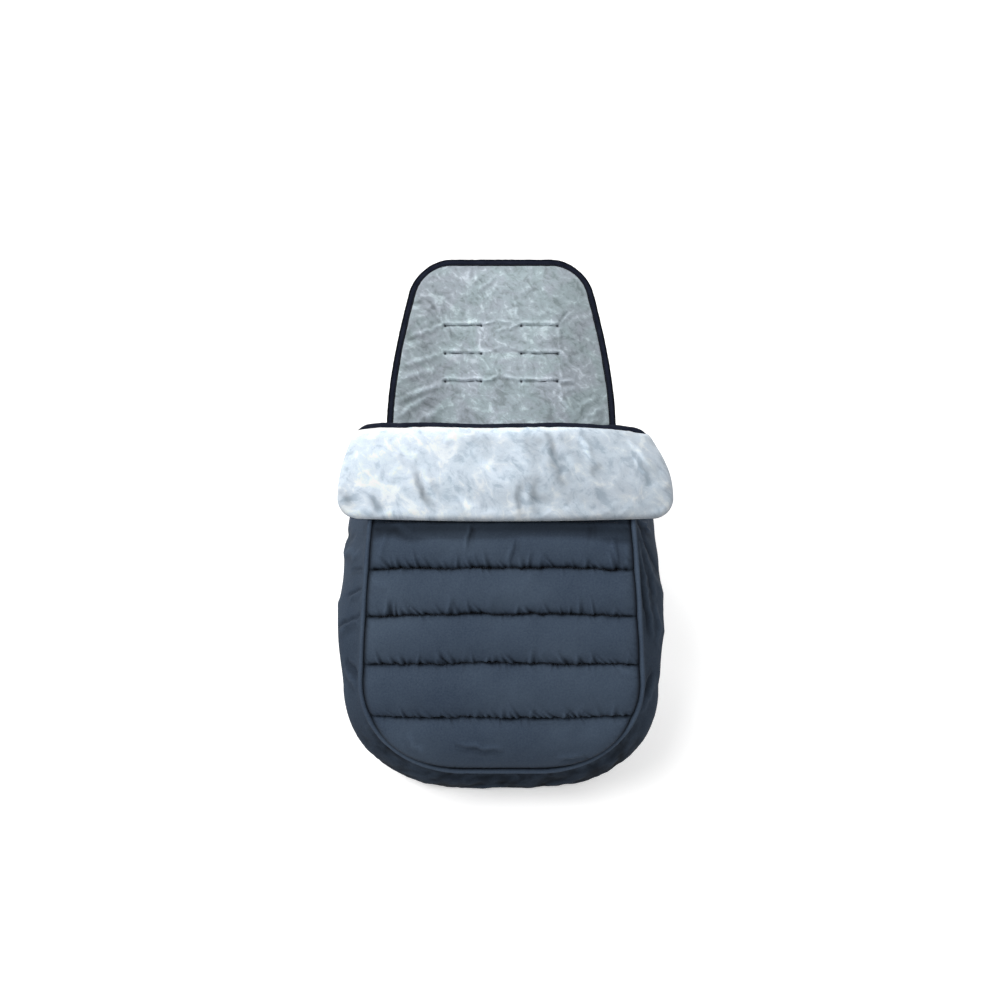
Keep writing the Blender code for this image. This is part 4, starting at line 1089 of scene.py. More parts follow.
def pad_relief(x, down):
    """(relief, shade): soft lumps, the folds that run from the slots, seams at the bends; painted
    light and shade on the folds and hollows, and a tone lighter in the middle than at the sides.
    """
    lumps = 0.0009 * layered(x / 0.060, down / 0.050, 11)
    lumps += 0.0006 * layered(x / 0.018 + 7, down / 0.015, 12)
    pile = 0.00018 * noise((x + down) / 0.0060, (x - down) / 0.0055, 13)
    seams = 0
    for middle in (BIGHT_MIDDLE, KNEE_MIDDLE):
        seams = seams - 0.0035 * bell(down - middle, 0.0035)
        pucker = np.sin(x / 0.0022 + 2.5 * noise(x / 0.012, down / 0.012, 14))
        seams = seams + 0.0006 * pucker * bell(np.abs(down - middle) - 0.006, 0.005)
    inside = smooth((pad_edge_distance(x, down) - 0.010) / 0.012)
    ripple = 0.0008 * crests(down / 0.021 + x / 0.05, x / 0.05, 15)
    edge = bell(pad_edge_distance(x, down) - 0.022, 0.010)
    folded, shade = folds(x, down, PAD_FOLDS)
    body = lumps + folded
    # Painted shade in the hollows and painted light on the crests.
    shade = shade + 0.10 * hollows(body, 5, 0.0008)
    # Lighter in the middle, darker towards both sides.
    shade = shade + np.interp(np.abs(x), (0, 0.07, 0.12, 0.19), (-0.22, -0.10, 0.08, 0.16))
    return (body + pile) * inside + seams + ripple * edge, shade * inside


# Painted shade along the inner edge of a folded tape's top, round its outer fold, at its low edge
# and on its hidden inside, and painted light on the middle of its top.
TAPE_SHADE = np.array(
    [0.95, 0.85, -0.10]
    + [-0.25, 0.10, 0.60, 0.85, 0.92, 0.92, 0.90, 0.80, 0.70, 0.55, 0.40, 0.15, 0, 0, 0]
    + [0, 0.25, 0.75]
    + [0.8] * 21
)


def make_pad_plush(material):
    x, down = pad_grid(0.0019)
    rim = 1 - quarter(pad_edge_distance(x, down) / 0.003)
    slots, slot_shade = slot_relief(x, down, 0)
    relief, shade = pad_relief(x, down)
    height = pad_thickness(x, down) - 0.0012 * rim + relief + slots
    face = pad_point(x, down, height)
    back = pad_point(x, down, SHELL + GAP)
    shade = np.clip(shade, -0.5, 0.5) + slot_shade
    obj = closed_panel("pad_plush", face, back, 4, material, (x, down), shade)
    solids = ("back_plush_lining", "backrest_wadding", "seat_wadding", "leg_wadding")
    dress(obj, PAD, "plush_grey", *solids)


def make_pad_shell(material):
    """The woven cloth under the pad, with its slots, drawn in a little by its seams."""
    x, down = pad_grid(0.0030, float(slot_drift(SLOT_ROWS[0], 0)))
    sunk = 0.0004 + 0.0004 * layered(x / 0.045, down / 0.045, 21)
    for middle in (BIGHT_MIDDLE, KNEE_MIDDLE):
        sunk = sunk + 0.0016 * bell(down - middle, 0.0028)
    cuts = np.clip(-slot_relief(x, down, slot_drift(down, 0))[0] / SLOT_DEPTH, 0, 1)
    sunk = np.maximum(sunk, 0) * (1 - cuts) + 0.0007 * cuts
    face = pad_point(x, down, sunk)
    inside = pad_point(x, down, np.maximum(sunk, 0) + SHELL - GAP)
    # Painted shade darkens the slits in the shell.
    obj = closed_panel("pad_shell", face, inside, 4, material, (x, down), 0.9 * cuts)
    dress(obj, PAD, "shell_fabric", "back_outer_shell")


def make_slot_bartacks(thread):
    """A close bar of thread across each end of each slot, on both faces."""
    reaches = (-BARTACK_REACH, BARTACK_REACH)
    for name, x, down, across, along in pad_slots():
        spans = []
        for side in (-1, 1):
            for height, way, lift in ((PAD_THICKNESS, 1, -0.0014), (0.0, -1, -0.0002)):
                end_x = x + side * across
                end_down = down + side * along - float(slot_drift(down, height))
                up = way * pad_ways(end_down)[1]
                for shift in np.arange(-2, 3) * BARTACK_STEP:
                    ends = [(shift, reach) if across else (reach, shift) for reach in reaches]
                    a, b = (pad_point(end_x + i, end_down + j, height + lift) for i, j in ends)
                    spans.append((a, b, up))
        obj = add_stitches(name.replace("stitching", "bartacks"), spans, thread, 0.0004, 1)
        dress(obj, PAD, "slot_thread", name)


def folded_tape(thickness):
    """The section of a tape folded over an edge: out of the edge, and up."""
    def arc(half, out):
        places = []
        for step in range(15):
            turn = math.pi / 2 - math.pi * step / 14
            c = abs(math.cos(turn)) ** 0.6
            s = math.copysign(abs(math.sin(turn)) ** 0.6, math.sin(turn))
            places.append((-TAPE_INSET + out * c, thickness / 2 + half * s))
        return places
    near = thickness / 2 + GAP
    outer = arc(near + TAPE, TAPE_INSET + TAPE_BULGE)
    inner = arc(near, TAPE_INSET + TAPE_BULGE - TAPE)[::-1]
    legs = [-TAPE_WIDTH * share for share in (1, 0.86, 0.64)]
    sink = (0.0006, 0.0001, -0.0002)
    top = [(a, thickness + GAP + TAPE - low) for a, low in zip(legs, sink)]
    low = [(a, -GAP - TAPE + low) for a, low in zip(legs[::-1], sink[::-1])]
    inner_low = [(a, -GAP) for a in legs]
    inner_top = [(a, thickness + GAP) for a in legs[::-1]]
    return top + outer + low + inner_low + inner + inner_top


def make_tape(name, points, out, up, thickness, tape, body, node, ripple=0):
    """A binding tape folded over an edge, which may be a little wavy."""
    rings = rings_along(points, out, up, folded_tape(thickness))
    centre = points + up * thickness / 2 - out * 0.004
    rings = rings + unit(rings - centre[:, None]) * ripple
    obj = tube(name, rings, tape, 2 * TAPE_WIDTH + thickness, TAPE_SHADE)
    dress(obj, body, "binding_tape", node)


def pad_edge_path():
    """Points, ways out and ways up along the pad's free edge."""
    rows = [turned(PAD_TOP_CORNER, 40), spread(PAD_TOP_CORNER, GUSSET_START - 0.0022, 0.002)]
    right = [(float(pad_half_width(row)), row) for row in merged(rows, 0.0004)[1:]]
    half = [(x, 0.0) for x in np.linspace(0, float(pad_half_width(0.0)), 40)] + right
    outline = np.array([(-x, down) for x, down in half[::-1]] + half[1:])
    run = unit(np.gradient(outline, axis=0))
    way_down, up = pad_ways(outline[:, 1])
    out = run[:, 1:] * np.array([1, 0, 0]) - run[:, :1] * way_down
    return resampled(pad_point(*outline.T, 0.0), out, up, step=PAD_TAPE_STEP)


def make_pad_binding(tape, thread):
    points, out, up = pad_edge_path()
    along = np.arange(len(points)) * PAD_TAPE_STEP
    ripple = ripples(along, 0.00025, 0.011, 0.0002, (31, 32))[:, None, None]
    path = (points, out, up)
    edge = PAD_EDGE_THICKNESS
    make_tape("pad_edge_binding", *path, edge, tape, PAD, "back_edge_binding", ripple)
    spans = []
    for side, height in ((1, edge + GAP + TAPE), (-1, -GAP - TAPE)):
        line = points - out * (TAPE_WIDTH - 0.0016) + up * (height + side * 0.0001)
        spans += spans_along(line, side * up, STITCH_PITCH)
    dress(add_stitches("pad_edge_stitches", spans, thread), PAD, "slot_thread")


# Apron pieces

APRON_FOLDS = (
    (-50, 178, -43, 140, 2.6, 1.8), (-45, 172, -37, 146, 2.4, -1.6), (13, 192, 22, 162, 2.4, -1.8),
    (6, 196, 16, 170, 2.6, 1.6), (160, 200, 156, 160, 2.6, -1.8), (154, 198, 149, 160, 2.6, 1.4),
    (167, 198, 168, 166, 2.4, 1.6), (-150, 138, -120, 150, 5, 1.4), (-164, 190, -156, 150, 3, 1.2),
    (120, 168, 118, 140, 3.4, -1), (-64, 440, 6, 449, 3, -2.4), (-60, 434, 2, 443, 4.4, 1.8),
    (80, 468, 116, 460, 3.6, -2), (76, 460, 112, 453, 4, 1.4), (-130, 424, -104, 452, 5, 1.4),
    (20, 408, 110, 410, 2.2, -1), (-174, 215, -150, 222, 4, 1), (150, 330, 176, 338, 3.6, 1),
)


def apron_grid():
    """x and down of the apron's grid, whose rows follow the bowed seams."""
    reach = np.array([0.6, 1.3, 2.1, 3.1, 4.4, 6.2, 8.6]) * 0.001
    rows = [np.array([0.0, APRON_HEM]), SEAMS]
    rows += [seam + side * reach for seam in SEAMS[2:] for side in (-1, 1)]
    rows += [seam + side * reach[1:6:2] for seam in SEAMS[:2] for side in (-1, 1)]
    rows += [spread(APRON_HIDDEN, APRON_LENGTH - APRON_CORNER / 3, 0.0038)]
    rows += [spread(APRON_HEM, APRON_HIDDEN, 0.0085)]
    turns = np.linspace(0.6, math.pi / 2, 34)
    rows += [CORNER_DOWN + (APRON_CORNER - EDGE_TUCK) * np.sin(turns)]
    rows += [APRON_LENGTH - EDGE_TUCK - turned(0.012, 5)[1:]]
    downs = merged([row[row <= APRON_LENGTH - EDGE_TUCK] for row in rows], 0.0005)[:, None]
    edge = 0.014 / 0.17
    shares = np.concatenate([turned(edge, 7), np.linspace(edge, 1, 236)])
    columns = np.concatenate([shares - 1, 1 - shares[-2::-1]])[None]
    x = columns * apron_half_width(downs, EDGE_TUCK)
    bow = np.interp(downs, CHANNEL_EDGES, [0, *SEAM_BOWS, 0])
    near = np.min(np.abs(downs[..., None] - SEAMS), axis=-1)
    row_seed = np.round(downs / 0.05)
    wander = 0.0010 * noise(x / 0.009, row_seed, 41)
    wander = wander + 0.0011 * noise(x / 0.040, row_seed, 42)
    down = downs + bow * (1 - columns**2) + wander * bell(near, 0.010) * (1 - columns**8)
    return x, down, np.broadcast_to(downs, x.shape)


def seam_gathers(x, rest_down):
    """(relief, shade) of the short folds that lean away from each seam of the quilt."""
    ends = (-0.19, 0.19)
    total = 0
    for index, seam in enumerate(SEAMS[2:]):
        off = rest_down - seam
        above = gathers(x, -off, ends, 17 + index, 0.0115, 0.0210, 0.0036, (-1.1, 0.30))
        below = gathers(x, off, ends, 37 + index, 0.0100, 0.0100, 0.0015, (-0.5, 1.0))
        total = total + np.array(above) + np.array(below)
    return total


def seam_cuts(x, rest_down):
    """(relief, shade) of the sewn grooves between the channels that show, with painted shade in
    each groove and just above it.
    """
    total = np.zeros(x.shape)
    shade = np.zeros(x.shape)
    for index, seam in list(enumerate(SEAMS))[2:]:
        off = rest_down - seam
        uneven = strip_noise(x, 0.009, index, 51)
        wide = 0.0020 + 0.0007 * strip_noise(x, 0.006, index, 52)
        total -= 0.0032 * (1 + 0.35 * uneven) * bell(off, wide)
        long = crests(x / 0.030 + off / 0.06, x * 0 + index, 54)
        total += 0.0010 * long * bell(np.abs(off) - 0.011, 0.012)
        # Painted shade in the groove and a wider band of painted shade just above it.
        shade += (0.38 + 0.26 * uneven) * bell(off, wide)
        shade += 0.22 * bell(off + 0.0015, 0.0055)
    return total, shade


def apron_relief(x, rest_down):
    """(relief, shade) of everything on the quilt that is finer than its channels, with painted
    shade in its seams and along its piping, and a painted shadow under the cuff.
    """
    uneven = 0.0012 * layered(x / 0.075, rest_down / 0.045, 61)
    uneven += 0.0005 * layered(x / 0.022, rest_down / 0.028, 62)
    distance = apron_edge_distance(x, rest_down)
    inside = smooth(distance / 0.010)
    run = apron_edge_run(x, rest_down)
    ends = (-0.62, 0.62)
    pull, pull_shade = gathers(run, distance - 0.003, ends, 63, 0.011, 0.015, 0.0013, (-1, 1))
    cuts, shade = seam_cuts(x, rest_down)
    drawn, drawn_shade = seam_gathers(x, rest_down)
    folded, fold_shade = folds(x, rest_down, APRON_FOLDS)
    shade = shade + np.clip(drawn_shade + fold_shade + pull_shade, -0.35, 0.6)
    # A painted shadow cast by the cuff: over the quilt it covers, fading out upwards, and darkest
    # just below its lower edge.
    covered = 0.157 + 0.004 * strip_noise(x, 0.030, 0, 64)
    cuff_shadow = 1 - smooth((rest_down - covered) / 0.009)
    shade = shade + 0.46 * cuff_shadow * smooth((rest_down - covered + 0.045) / 0.045)
    shade = shade + 0.30 * (1 - smooth((rest_down - 0.146) / 0.012))
    # Painted shade in the groove between the quilt and its piping, wider at the toe.
    toe = smooth((rest_down - APRON_LENGTH + 0.060) / 0.040)
    reach = 0.0040 + 0.0032 * toe
    edge = (0.74 + 0.14 * toe) * bell(np.maximum(distance - 0.0012, 0), reach)
    return (uneven + cuts + drawn + folded + pull) * inside, shade * inside + edge


def make_apron_quilt(material, thread):
    x, down, rest = apron_grid()
    relief, shade = apron_relief(x, rest)
    sunk = -0.0042 * (1 - quarter(apron_edge_distance(x, rest) / 0.008))
    height = apron_crown(x, rest) + quilt_puff(x, rest) + relief + sunk + top_lift(x, rest)
    face = apron_point(x, down, height)
    low = apron_crown(x, rest) - APRON_EDGE + LINING + GAP + top_lift(x, rest)
    back = apron_point(x, down, np.minimum(low, height - 0.002))
    obj = closed_panel("apron_quilt", face, back, 4, material, (x, down), shade)
    dress(obj, "apron", "shell_fabric", "apron_outer_shell", "apron_wadding")
    up = normals_of(face)
    line = slice(12, -12)
    spans = []
    for seam in SEAMS[1:]:
        bow = np.interp(seam, CHANNEL_EDGES, [0, *SEAM_BOWS, 0])
        row = int(np.argmin(np.abs(down[:, x.shape[1] // 2] - bow - seam)))
        spans += spans_along(face[row, line] + 0.0002 * up[row, line], up[row, line], STITCH_PITCH)
    dress(add_stitches("apron_seam_stitches", spans, thread), "apron", "slot_thread")


def make_apron_lining(material):
    rows = [spread(0, APRON_LENGTH - EDGE_TUCK, 0.0042), np.array([APRON_LENGTH - LINING_TUCK])]
    rows = merged(rows, 0.001)
    half = apron_half_width(rows, LINING_TUCK)
    x = np.linspace(-1, 1, 97) * half[:, None]
    down = np.broadcast_to(rows[:, None], x.shape)
    lumps = 0.0006 * layered(x / 0.04, down / 0.04, 71)
    lumps = lumps + 0.0003 * noise(x / 0.006, down / 0.006, 72)
    inside = smooth((half[:, None] - np.abs(x)) / 0.02)
    seams = sum(0.0012 * bell(down - seam, 0.004) for seam in SEAMS)
    base = apron_crown(x, down) - APRON_EDGE + top_lift(x, down)
    face = apron_point(x, down, base + (np.abs(lumps) + seams) * inside)
    back = apron_point(x, down, base + LINING)
    obj = closed_panel("apron_lining", face, back, 4, material, (x, down))
    dress(obj, "apron", "plush_grey", "apron_plush_lining")


def make_apron_binding(tape):
    """The tape over the apron's top edge, under the cuff."""
    x = np.linspace(-TOP_HALF_WIDTH, TOP_HALF_WIDTH, 120)
    points = apron_point(x, 0.0, apron_crown(x, 0.0) - APRON_EDGE + top_lift(x, 0.0))
    way_up, up = apron_ways(x * 0)
    make_tape("apron_top_tape", points, way_up, up, APRON_EDGE, tape, "apron", "apron_top_binding")


def make_piping(material, thread):
    """The cloth-covered cord round the apron, its sewn flanges, and both seams."""
    step = 0.0016
    points, out, up = rim_path(step)
    ripple = ripples(np.arange(len(points)) * step, 0.00018, 0.0075, 0.00018, (81, 82))
    turns = np.array(circle(16))
    section = PIPING_RADIUS * turns - (PIPING_INSET, 0)
    rings = rings_along(points, out, up, section)
    away = (rings - (points - out * PIPING_INSET)[:, None]) / PIPING_RADIUS
    rings = rings + away * ripple[:, None, None]
    # Painted light on the top of the piping and painted shade round the rest of it.
    shade = 0.50 - 0.62 * np.maximum(turns[:, 1], 0)
    cover = tube("apron_piping", rings, material, math.tau * PIPING_RADIUS, shade)
    dress(cover, "apron", "shell_fabric", "apron_piping_cover", "apron_piping_cord")
    inner = -PIPING_INSET - PIPING_RADIUS
    top = [(inner - 0.0040, -0.0046), (inner - 0.0014, -0.0032), (inner + 0.0012, -0.0018)]
    flange = top + [(a, b - 0.0012) for a, b in top[::-1]]
    rings = rings_along(points, out, up, flange)
    # Painted shade over the whole flange, which lies in the groove.
    strip = tube("apron_piping_flange", rings, material, 0.012, np.full(6, 0.65))
    dress(strip, "apron", "shell_fabric")
    line = points + out * (inner - 0.0006) - up * 0.0026
    stitches = add_stitches("apron_piping_stitches", spans_along(line, up, 0.0030), thread)
    dress(stitches, "apron", "slot_thread")


# Zip

def make_coil(half, material):
    """One half of the zip: a nylon spiral whose loops reach past the slit, into the other's."""
    way = HALVES[half][1]
    step = 0.0010
    points, out, up = rim_path(step, COIL_START / SIDE_END)
    points = points + out * 0.0004
    points = points + up * (way * ((COIL_WIDTH - COIL_OVERLAP) / 2 + 0.0004) - ZIP_DEPTH)
    turns = int(step * (len(points) - 1) / COIL_PITCH)
    share = np.linspace(0, 1, turns * 8 + 1)
    places = share * (len(points) - 1)
    index = np.arange(len(points))
    line, side, lift = (looked_up(places, index, values) for values in (points, out, up))
    turn = math.tau * turns * share[:, None] + (0 if way > 0 else math.pi)
    reach_out = COIL_THICKNESS / 2 - COIL_WIRE - 0.0002
    reach_up = COIL_WIDTH / 2 - COIL_WIRE
    helix = line + side * np.cos(turn) * reach_out + lift * np.sin(turn) * reach_up
    away = side * np.cos(turn) + lift * np.sin(turn)
    across = np.cross(unit(np.gradient(helix, axis=0)), away)
    rings = [helix + COIL_WIRE * (c * away + s * across) for c, s in circle(4)]
    obj = tube(f"zip_teeth_{half}", np.stack(rings, axis=1), material, 0.002)
    dress(obj, HALVES[half][0], "zip_coil_nylon", f"zip_coil_{half}")


def make_zip_tape(half, material):
    """The woven tape of one half, which runs behind its coil to the slit."""
    points, out, up = rim_path(0.0030, 0.001 / SIDE_END)
    body, _, low, high = HALVES[half]
    near = -0.0011
    far = near + ZIP_TAPE
    section = [(near, low), (far, low), (far, high), (near, high)]
    obj = tube(f"zip_band_{half}", rings_along(points, out, up, section), material, 0.024)
    dress(obj, body, "zip_tape_woven", f"zip_tape_{half}")


# Gusset pieces

def gusset_bulge(place):
    return GUSSET_BULGE * float(np.interp(place, GUSSET_PLACES, GUSSET_BULGE_SHARES))


def pad_rim(place):
    """The same along the pad's edge, where place is 0 at the gusset's start."""
    corner = PAD_LENGTH - PAD_TOE_CORNER
    if place > 1:
        return round_toe(place, 0, PAD_HALF_WIDTH - PAD_TOE_CORNER, corner, PAD_TOE_CORNER)
    return PAD_HALF_WIDTH, GUSSET_START + (corner - GUSSET_START) * place, 1, 0


WALL_SPANS = ((0, 1, 190), (1, 2, 96), (2, 3, 64))


def wall_ends(side, place):
    """Bottom and top of the gusset's outer face, with the way out at each."""
    x, down, out_x, out_down = pad_rim(place)
    low_out = np.array([side * out_x, 0, 0]) + out_down * pad_ways(down)[0]
    low = pad_point(side * x, down, 0.0) + (GUSSET_THICKNESS + GAP) * low_out
    origin, high_out, high_up = rim_frame(side, place)
    proud = 0.0004 + GAP + SHELL
    return low, low_out, origin + proud * high_out - GUSSET_EDGE_DEPTH * high_up, high_out


def wall_grid(shares):
    """The gusset's outer face: columns run round it, rows run from its top down."""
    half = [place for span in WALL_SPANS for place in np.linspace(*span, endpoint=False)]
    tracks = [(-1, place) for place in half] + [(1, 3.0)] + [(1, place) for place in half[::-1]]
    rest = 1 - shares
    along_side = (1 - np.cos(math.tau * shares)) / 2
    at_toe = 4 * rest * shares
    columns = []
    for side, place in tracks:
        low, low_out, high, high_out = wall_ends(side, place)
        blend = float(smooth(place - 1))
        puff = gusset_bulge(place) * (along_side + (at_toe - along_side) * blend)
        column = rest[:, None] * low + shares[:, None] * high
        column = column + puff[:, None] * (rest[:, None] * low_out + shares[:, None] * high_out)
        columns.append(column)
    grid = np.stack(columns, axis=1)
    rise = np.linalg.norm(np.diff(grid, axis=0), axis=-1)
    height = np.concatenate([np.zeros((1, grid.shape[1])), np.cumsum(rise, axis=0)])
    around_it = np.broadcast_to(run_along(grid[len(shares) // 2]), height.shape)
    return grid, around_it, height, np.array([place for _, place in tracks])


GUSSET_FOLDS = (
    (279, 70, 270, 14, 3.4, -3.4), (286, 62, 277, 16, 5, 2), (236, 58, 230, 18, 3, -2.6),
    (243, 50, 238, 20, 4, 1.6), (197, 62, 203, 22, 3, -2.4), (328, 44, 368, 12, 3.4, -3.2),
    (340, 48, 378, 20, 4.4, 2.2), (160, 120, 180, 40, 6, 2.2), (120, 160, 150, 70, 7, -2.6),
    (220, 140, 250, 80, 6, 2), (1256, 16, 1226, 90, 4.4, 4), (1244, 40, 1165, 86, 3.6, -4),
    (1232, 36, 1150, 70, 4, 3), (1216, 28, 1066, 24, 3.4, -3.4), (1206, 36, 1060, 33, 4, 3),
    (1189, 44, 1110, 56, 3.4, -3), (1160, 60, 1050, 46, 4.4, 2.4), (1018, 38, 958, 12, 3.4, -3.2),
    (1008, 46, 944, 20, 4.4, 2.2), (1290, 150, 1240, 60, 7, 2.6), (1200, 140, 1150, 80, 6, -2.2),
)


def gusset_relief(around_it, height, share, place):
    """(relief, shade): gathers at the seams, slack folds, and painted shade on the sides, the toe,
    towards the outline and along the top by the zip.
    """
    total = 0.0016 * layered(around_it / 0.070, height / 0.050, 91)
    slack = crests(around_it / 0.060 + height / 0.16, height / 0.12, 92)
    total += 0.0014 * slack * bell(share - 0.6, 0.4)
    toe = smooth((place - 1.1) / 0.5)[None]
    end = float(around_it.max())
    top, top_shade = gathers(around_it, height, (0, end), 94, 0.013, 0.016, 0.0014, (-0.9, 0.9))
    long, long_shade = gathers(around_it, height, (0, end), 95, 0.019, 0.034, 0.0030, (-0.9, 0.9))
    below = height[-1:] - height
    low, low_shade = gathers(around_it, below, (0, end), 96, 0.013, 0.018, 0.0012, (-0.6, 0.6))
    folded, fold_shade = folds(around_it, height, GUSSET_FOLDS)
    tuck, tuck_shade = gathers(around_it, height, (0, end), 98, 0.014, 0.034, 0.0052, (-0.8, 0.8))
    total = total + top + (long - tuck) * toe + low + folded
    pulled = (long_shade + 0.6 * tuck_shade) * toe
    shade = np.clip(top_shade + pulled + fold_shade + low_shade, -0.40, 0.5)
    # Painted shade on both sides, more on the right, which faces away from the key light.
    right = around_it > end / 2
    shade = shade + np.where(right, 0.31, 0.17) * (1 - toe)
    # A painted shadow over the toe, mottled lighter and darker by the crumples, which also dent the
    # cloth a little.
    crumple = layered(around_it / 0.017 + height / 0.030, height / 0.013, 99)
    shade = shade + (0.55 + 0.16 * (1 - share) + 0.42 * crumple) * toe
    total = total - 0.0017 * crumple * toe
    # Painted shade towards the outline and along the top beside the zip.
    shade = shade + 0.32 * smooth((0.60 - share) / 0.15) * (1 - toe)
    shade = np.minimum(shade + 0.60 * bell(height, 0.0045), 0.93)
    inside = smooth(np.minimum(share / 0.06, (1 - share) / 0.03))
    room = -0.0010 + 0.013 * (1 - toe * (1 - smooth((height - 0.035) / 0.030)))
    return np.minimum(total * inside, room), shade


def make_gusset(fabric, plush, tape):
    low = np.linspace(0, 0.9, 46, endpoint=False)
    shares = np.concatenate([low, np.linspace(0.9, 1, 14)])[::-1]
    grid, around_it, height, place = wall_grid(shares)
    share = np.broadcast_to(shares[:, None], height.shape)
    out = -normals_of(grid)
    out = out if out[30, 5, 0] < 0 else -out
    relief, shade = gusset_relief(around_it, height, share, place)
    face = grid + out * relief[..., None]
    inner = grid - out * (GUSSET_THICKNESS - LINING - GAP)
    cloth = closed_panel("gusset_cloth", face, inner, 4, fabric, (around_it, height), shade)
    dress(cloth, PAD, "shell_fabric", "gusset_outer_shell", "gusset_wadding")
    plush_depth = GUSSET_THICKNESS - 0.0006 * layered(around_it / 0.04, height / 0.04, 97)
    skin = grid - out * plush_depth[..., None]
    back = grid - out * (GUSSET_THICKNESS - LINING)
    every = (slice(None, None, 2), slice(None, None, 2))
    places = (around_it[every], height[every])
    lining = closed_panel("gusset_lining", skin[every], back[every], 3, plush, places)
    dress(lining, PAD, "plush_grey", "gusset_plush_lining")
    for side, column, beside in (("left", 0, 8), ("right", -1, -9)):
        points = face[:, column]
        way = unit(points - face[:, beside])
        points = points - out[:, column] * GUSSET_THICKNESS
        path = resampled(points[:-1], way[:-1], out[:-1, column], step=0.002)
        name = f"gusset_top_binding_{side}"
        make_tape(f"armhole_tape_{side}", *path, GUSSET_THICKNESS, tape, PAD, name)


# Cuff pieces

CUFF_FOLDS = (
    (-96, 124, -118, 78, 3.6, -2.6), (-88, 118, -108, 74, 4.6, 1.8), (24, 136, 21, 94, 3.6, -3),
    (36, 134, 32, 92, 6, 2), (82, 96, 62, 26, 5.6, -2.2), (92, 80, 74, 26, 7, 1.4),
    (118, 66, 104, 30, 4, 1.8), (120, 82, 134, 66, 5, -1.6), (-80, 40, -52, 26, 3.4, 1.8),
    (200, 66, 172, 30, 4, 1), (206, 88, 190, 60, 7, -1.6), (-214, 100, -204, 112, 5, -2),
    (-167, 124, -173, 106, 4, -1.8), (-60, 110, -30, 124, 6, 1.4), (70, 116, 120, 122, 7, 1.2),
    (-140, 46, -112, 60, 6, 1.4),
)
CUFF_STROKES = (
    (-118, 74, -106, 104, 6, 0.12), (38, 40, 41, 56, 11, 0.15), (38, 92, 43, 108, 12, 0.16),
    (-42, 26, -24, 40, 11, 0.12), (62, 28, 78, 92, 7, 0.12), (124, 80, 132, 68, 7, 0.08),
    (-220, 94, -206, 110, 8, 0.14), (-176, 106, -168, 122, 6, 0.12), (-108, 100, -94, 122, 6, 0.1),
    (-92, 20, -60, 32, 7, -0.1), (-70, 38, -50, 28, 3, -0.16), (172, 34, 200, 62, 3, -0.06),
    (180, 58, 192, 74, 2.6, -0.18), (108, 34, 120, 58, 3, -0.14), (20, 60, 34, 76, 8, -0.1),
    (-30, 70, 6, 86, 10, -0.1), (46, 118, 86, 126, 6, -0.1), (-60, 118, -10, 128, 7, -0.1),
)


def cuff_half_width(down, side):
    """The cuff lies a little askew, so it reaches further out on the right."""
    widest = np.where(np.asarray(side) < 0, CUFF_LEFT_REACH, CUFF_RIGHT_REACH)
    grow = np.sin(math.pi / 2 * np.clip(down / CUFF_GROW_LENGTH, 0, 1))
    half = CUFF_TOP_HALF_WIDTH + (widest - CUFF_TOP_HALF_WIDTH) * grow
    top = corner_loss(down, CUFF_TOP_CORNER)
    return half - top - corner_loss(CUFF_LENGTH - down, CUFF_LOW_CORNER)


def cuff_base(x, down):
    """The cuff's underside: on the apron's tape at its seam, and over the piping."""
    seam = GAP * 2 + TAPE
    inside = TOP_HALF_WIDTH - np.abs(x)
    rise = np.maximum(smooth(down / CUFF_SEAM_WIDTH), 1 - smooth(inside / CUFF_END_RISE_WIDTH))
    lift = fold_lift(x) * (1 - smooth(down / 0.11))
    return apron_crown(x, down) + seam + CUFF_LIFT * rise + lift


def cuff_grid(row_step, column_count, start):
    """x, down and the distance inside the outline, over the cuff."""
    edge = turned(CUFF_ROLL, 13)
    first = start - CUFF_START
    rows = [first + edge, spread(first + CUFF_ROLL, CUFF_LENGTH - CUFF_ROLL, row_step)]
    rows += [CUFF_LENGTH - edge[::-1]]
    row = np.concatenate(rows)[:, None]
    end = edge / CUFF_HALF_WIDTH
    middle = np.linspace(CUFF_ROLL / CUFF_HALF_WIDTH, 1, column_count)
    shares = np.concatenate([end, middle])
    column = np.concatenate([shares - 1, 1 - shares[-2::-1]])[None]
    half = cuff_half_width(row, column)
    x = column * half
    rise = CUFF_RISE * (x / CUFF_HALF_WIDTH) ** 2
    down = CUFF_START + row * (1 - rise / CUFF_LENGTH)
    inside = np.minimum(half * (1 - np.abs(column)), np.minimum(row - first, CUFF_LENGTH - row))
    return x, down, inside


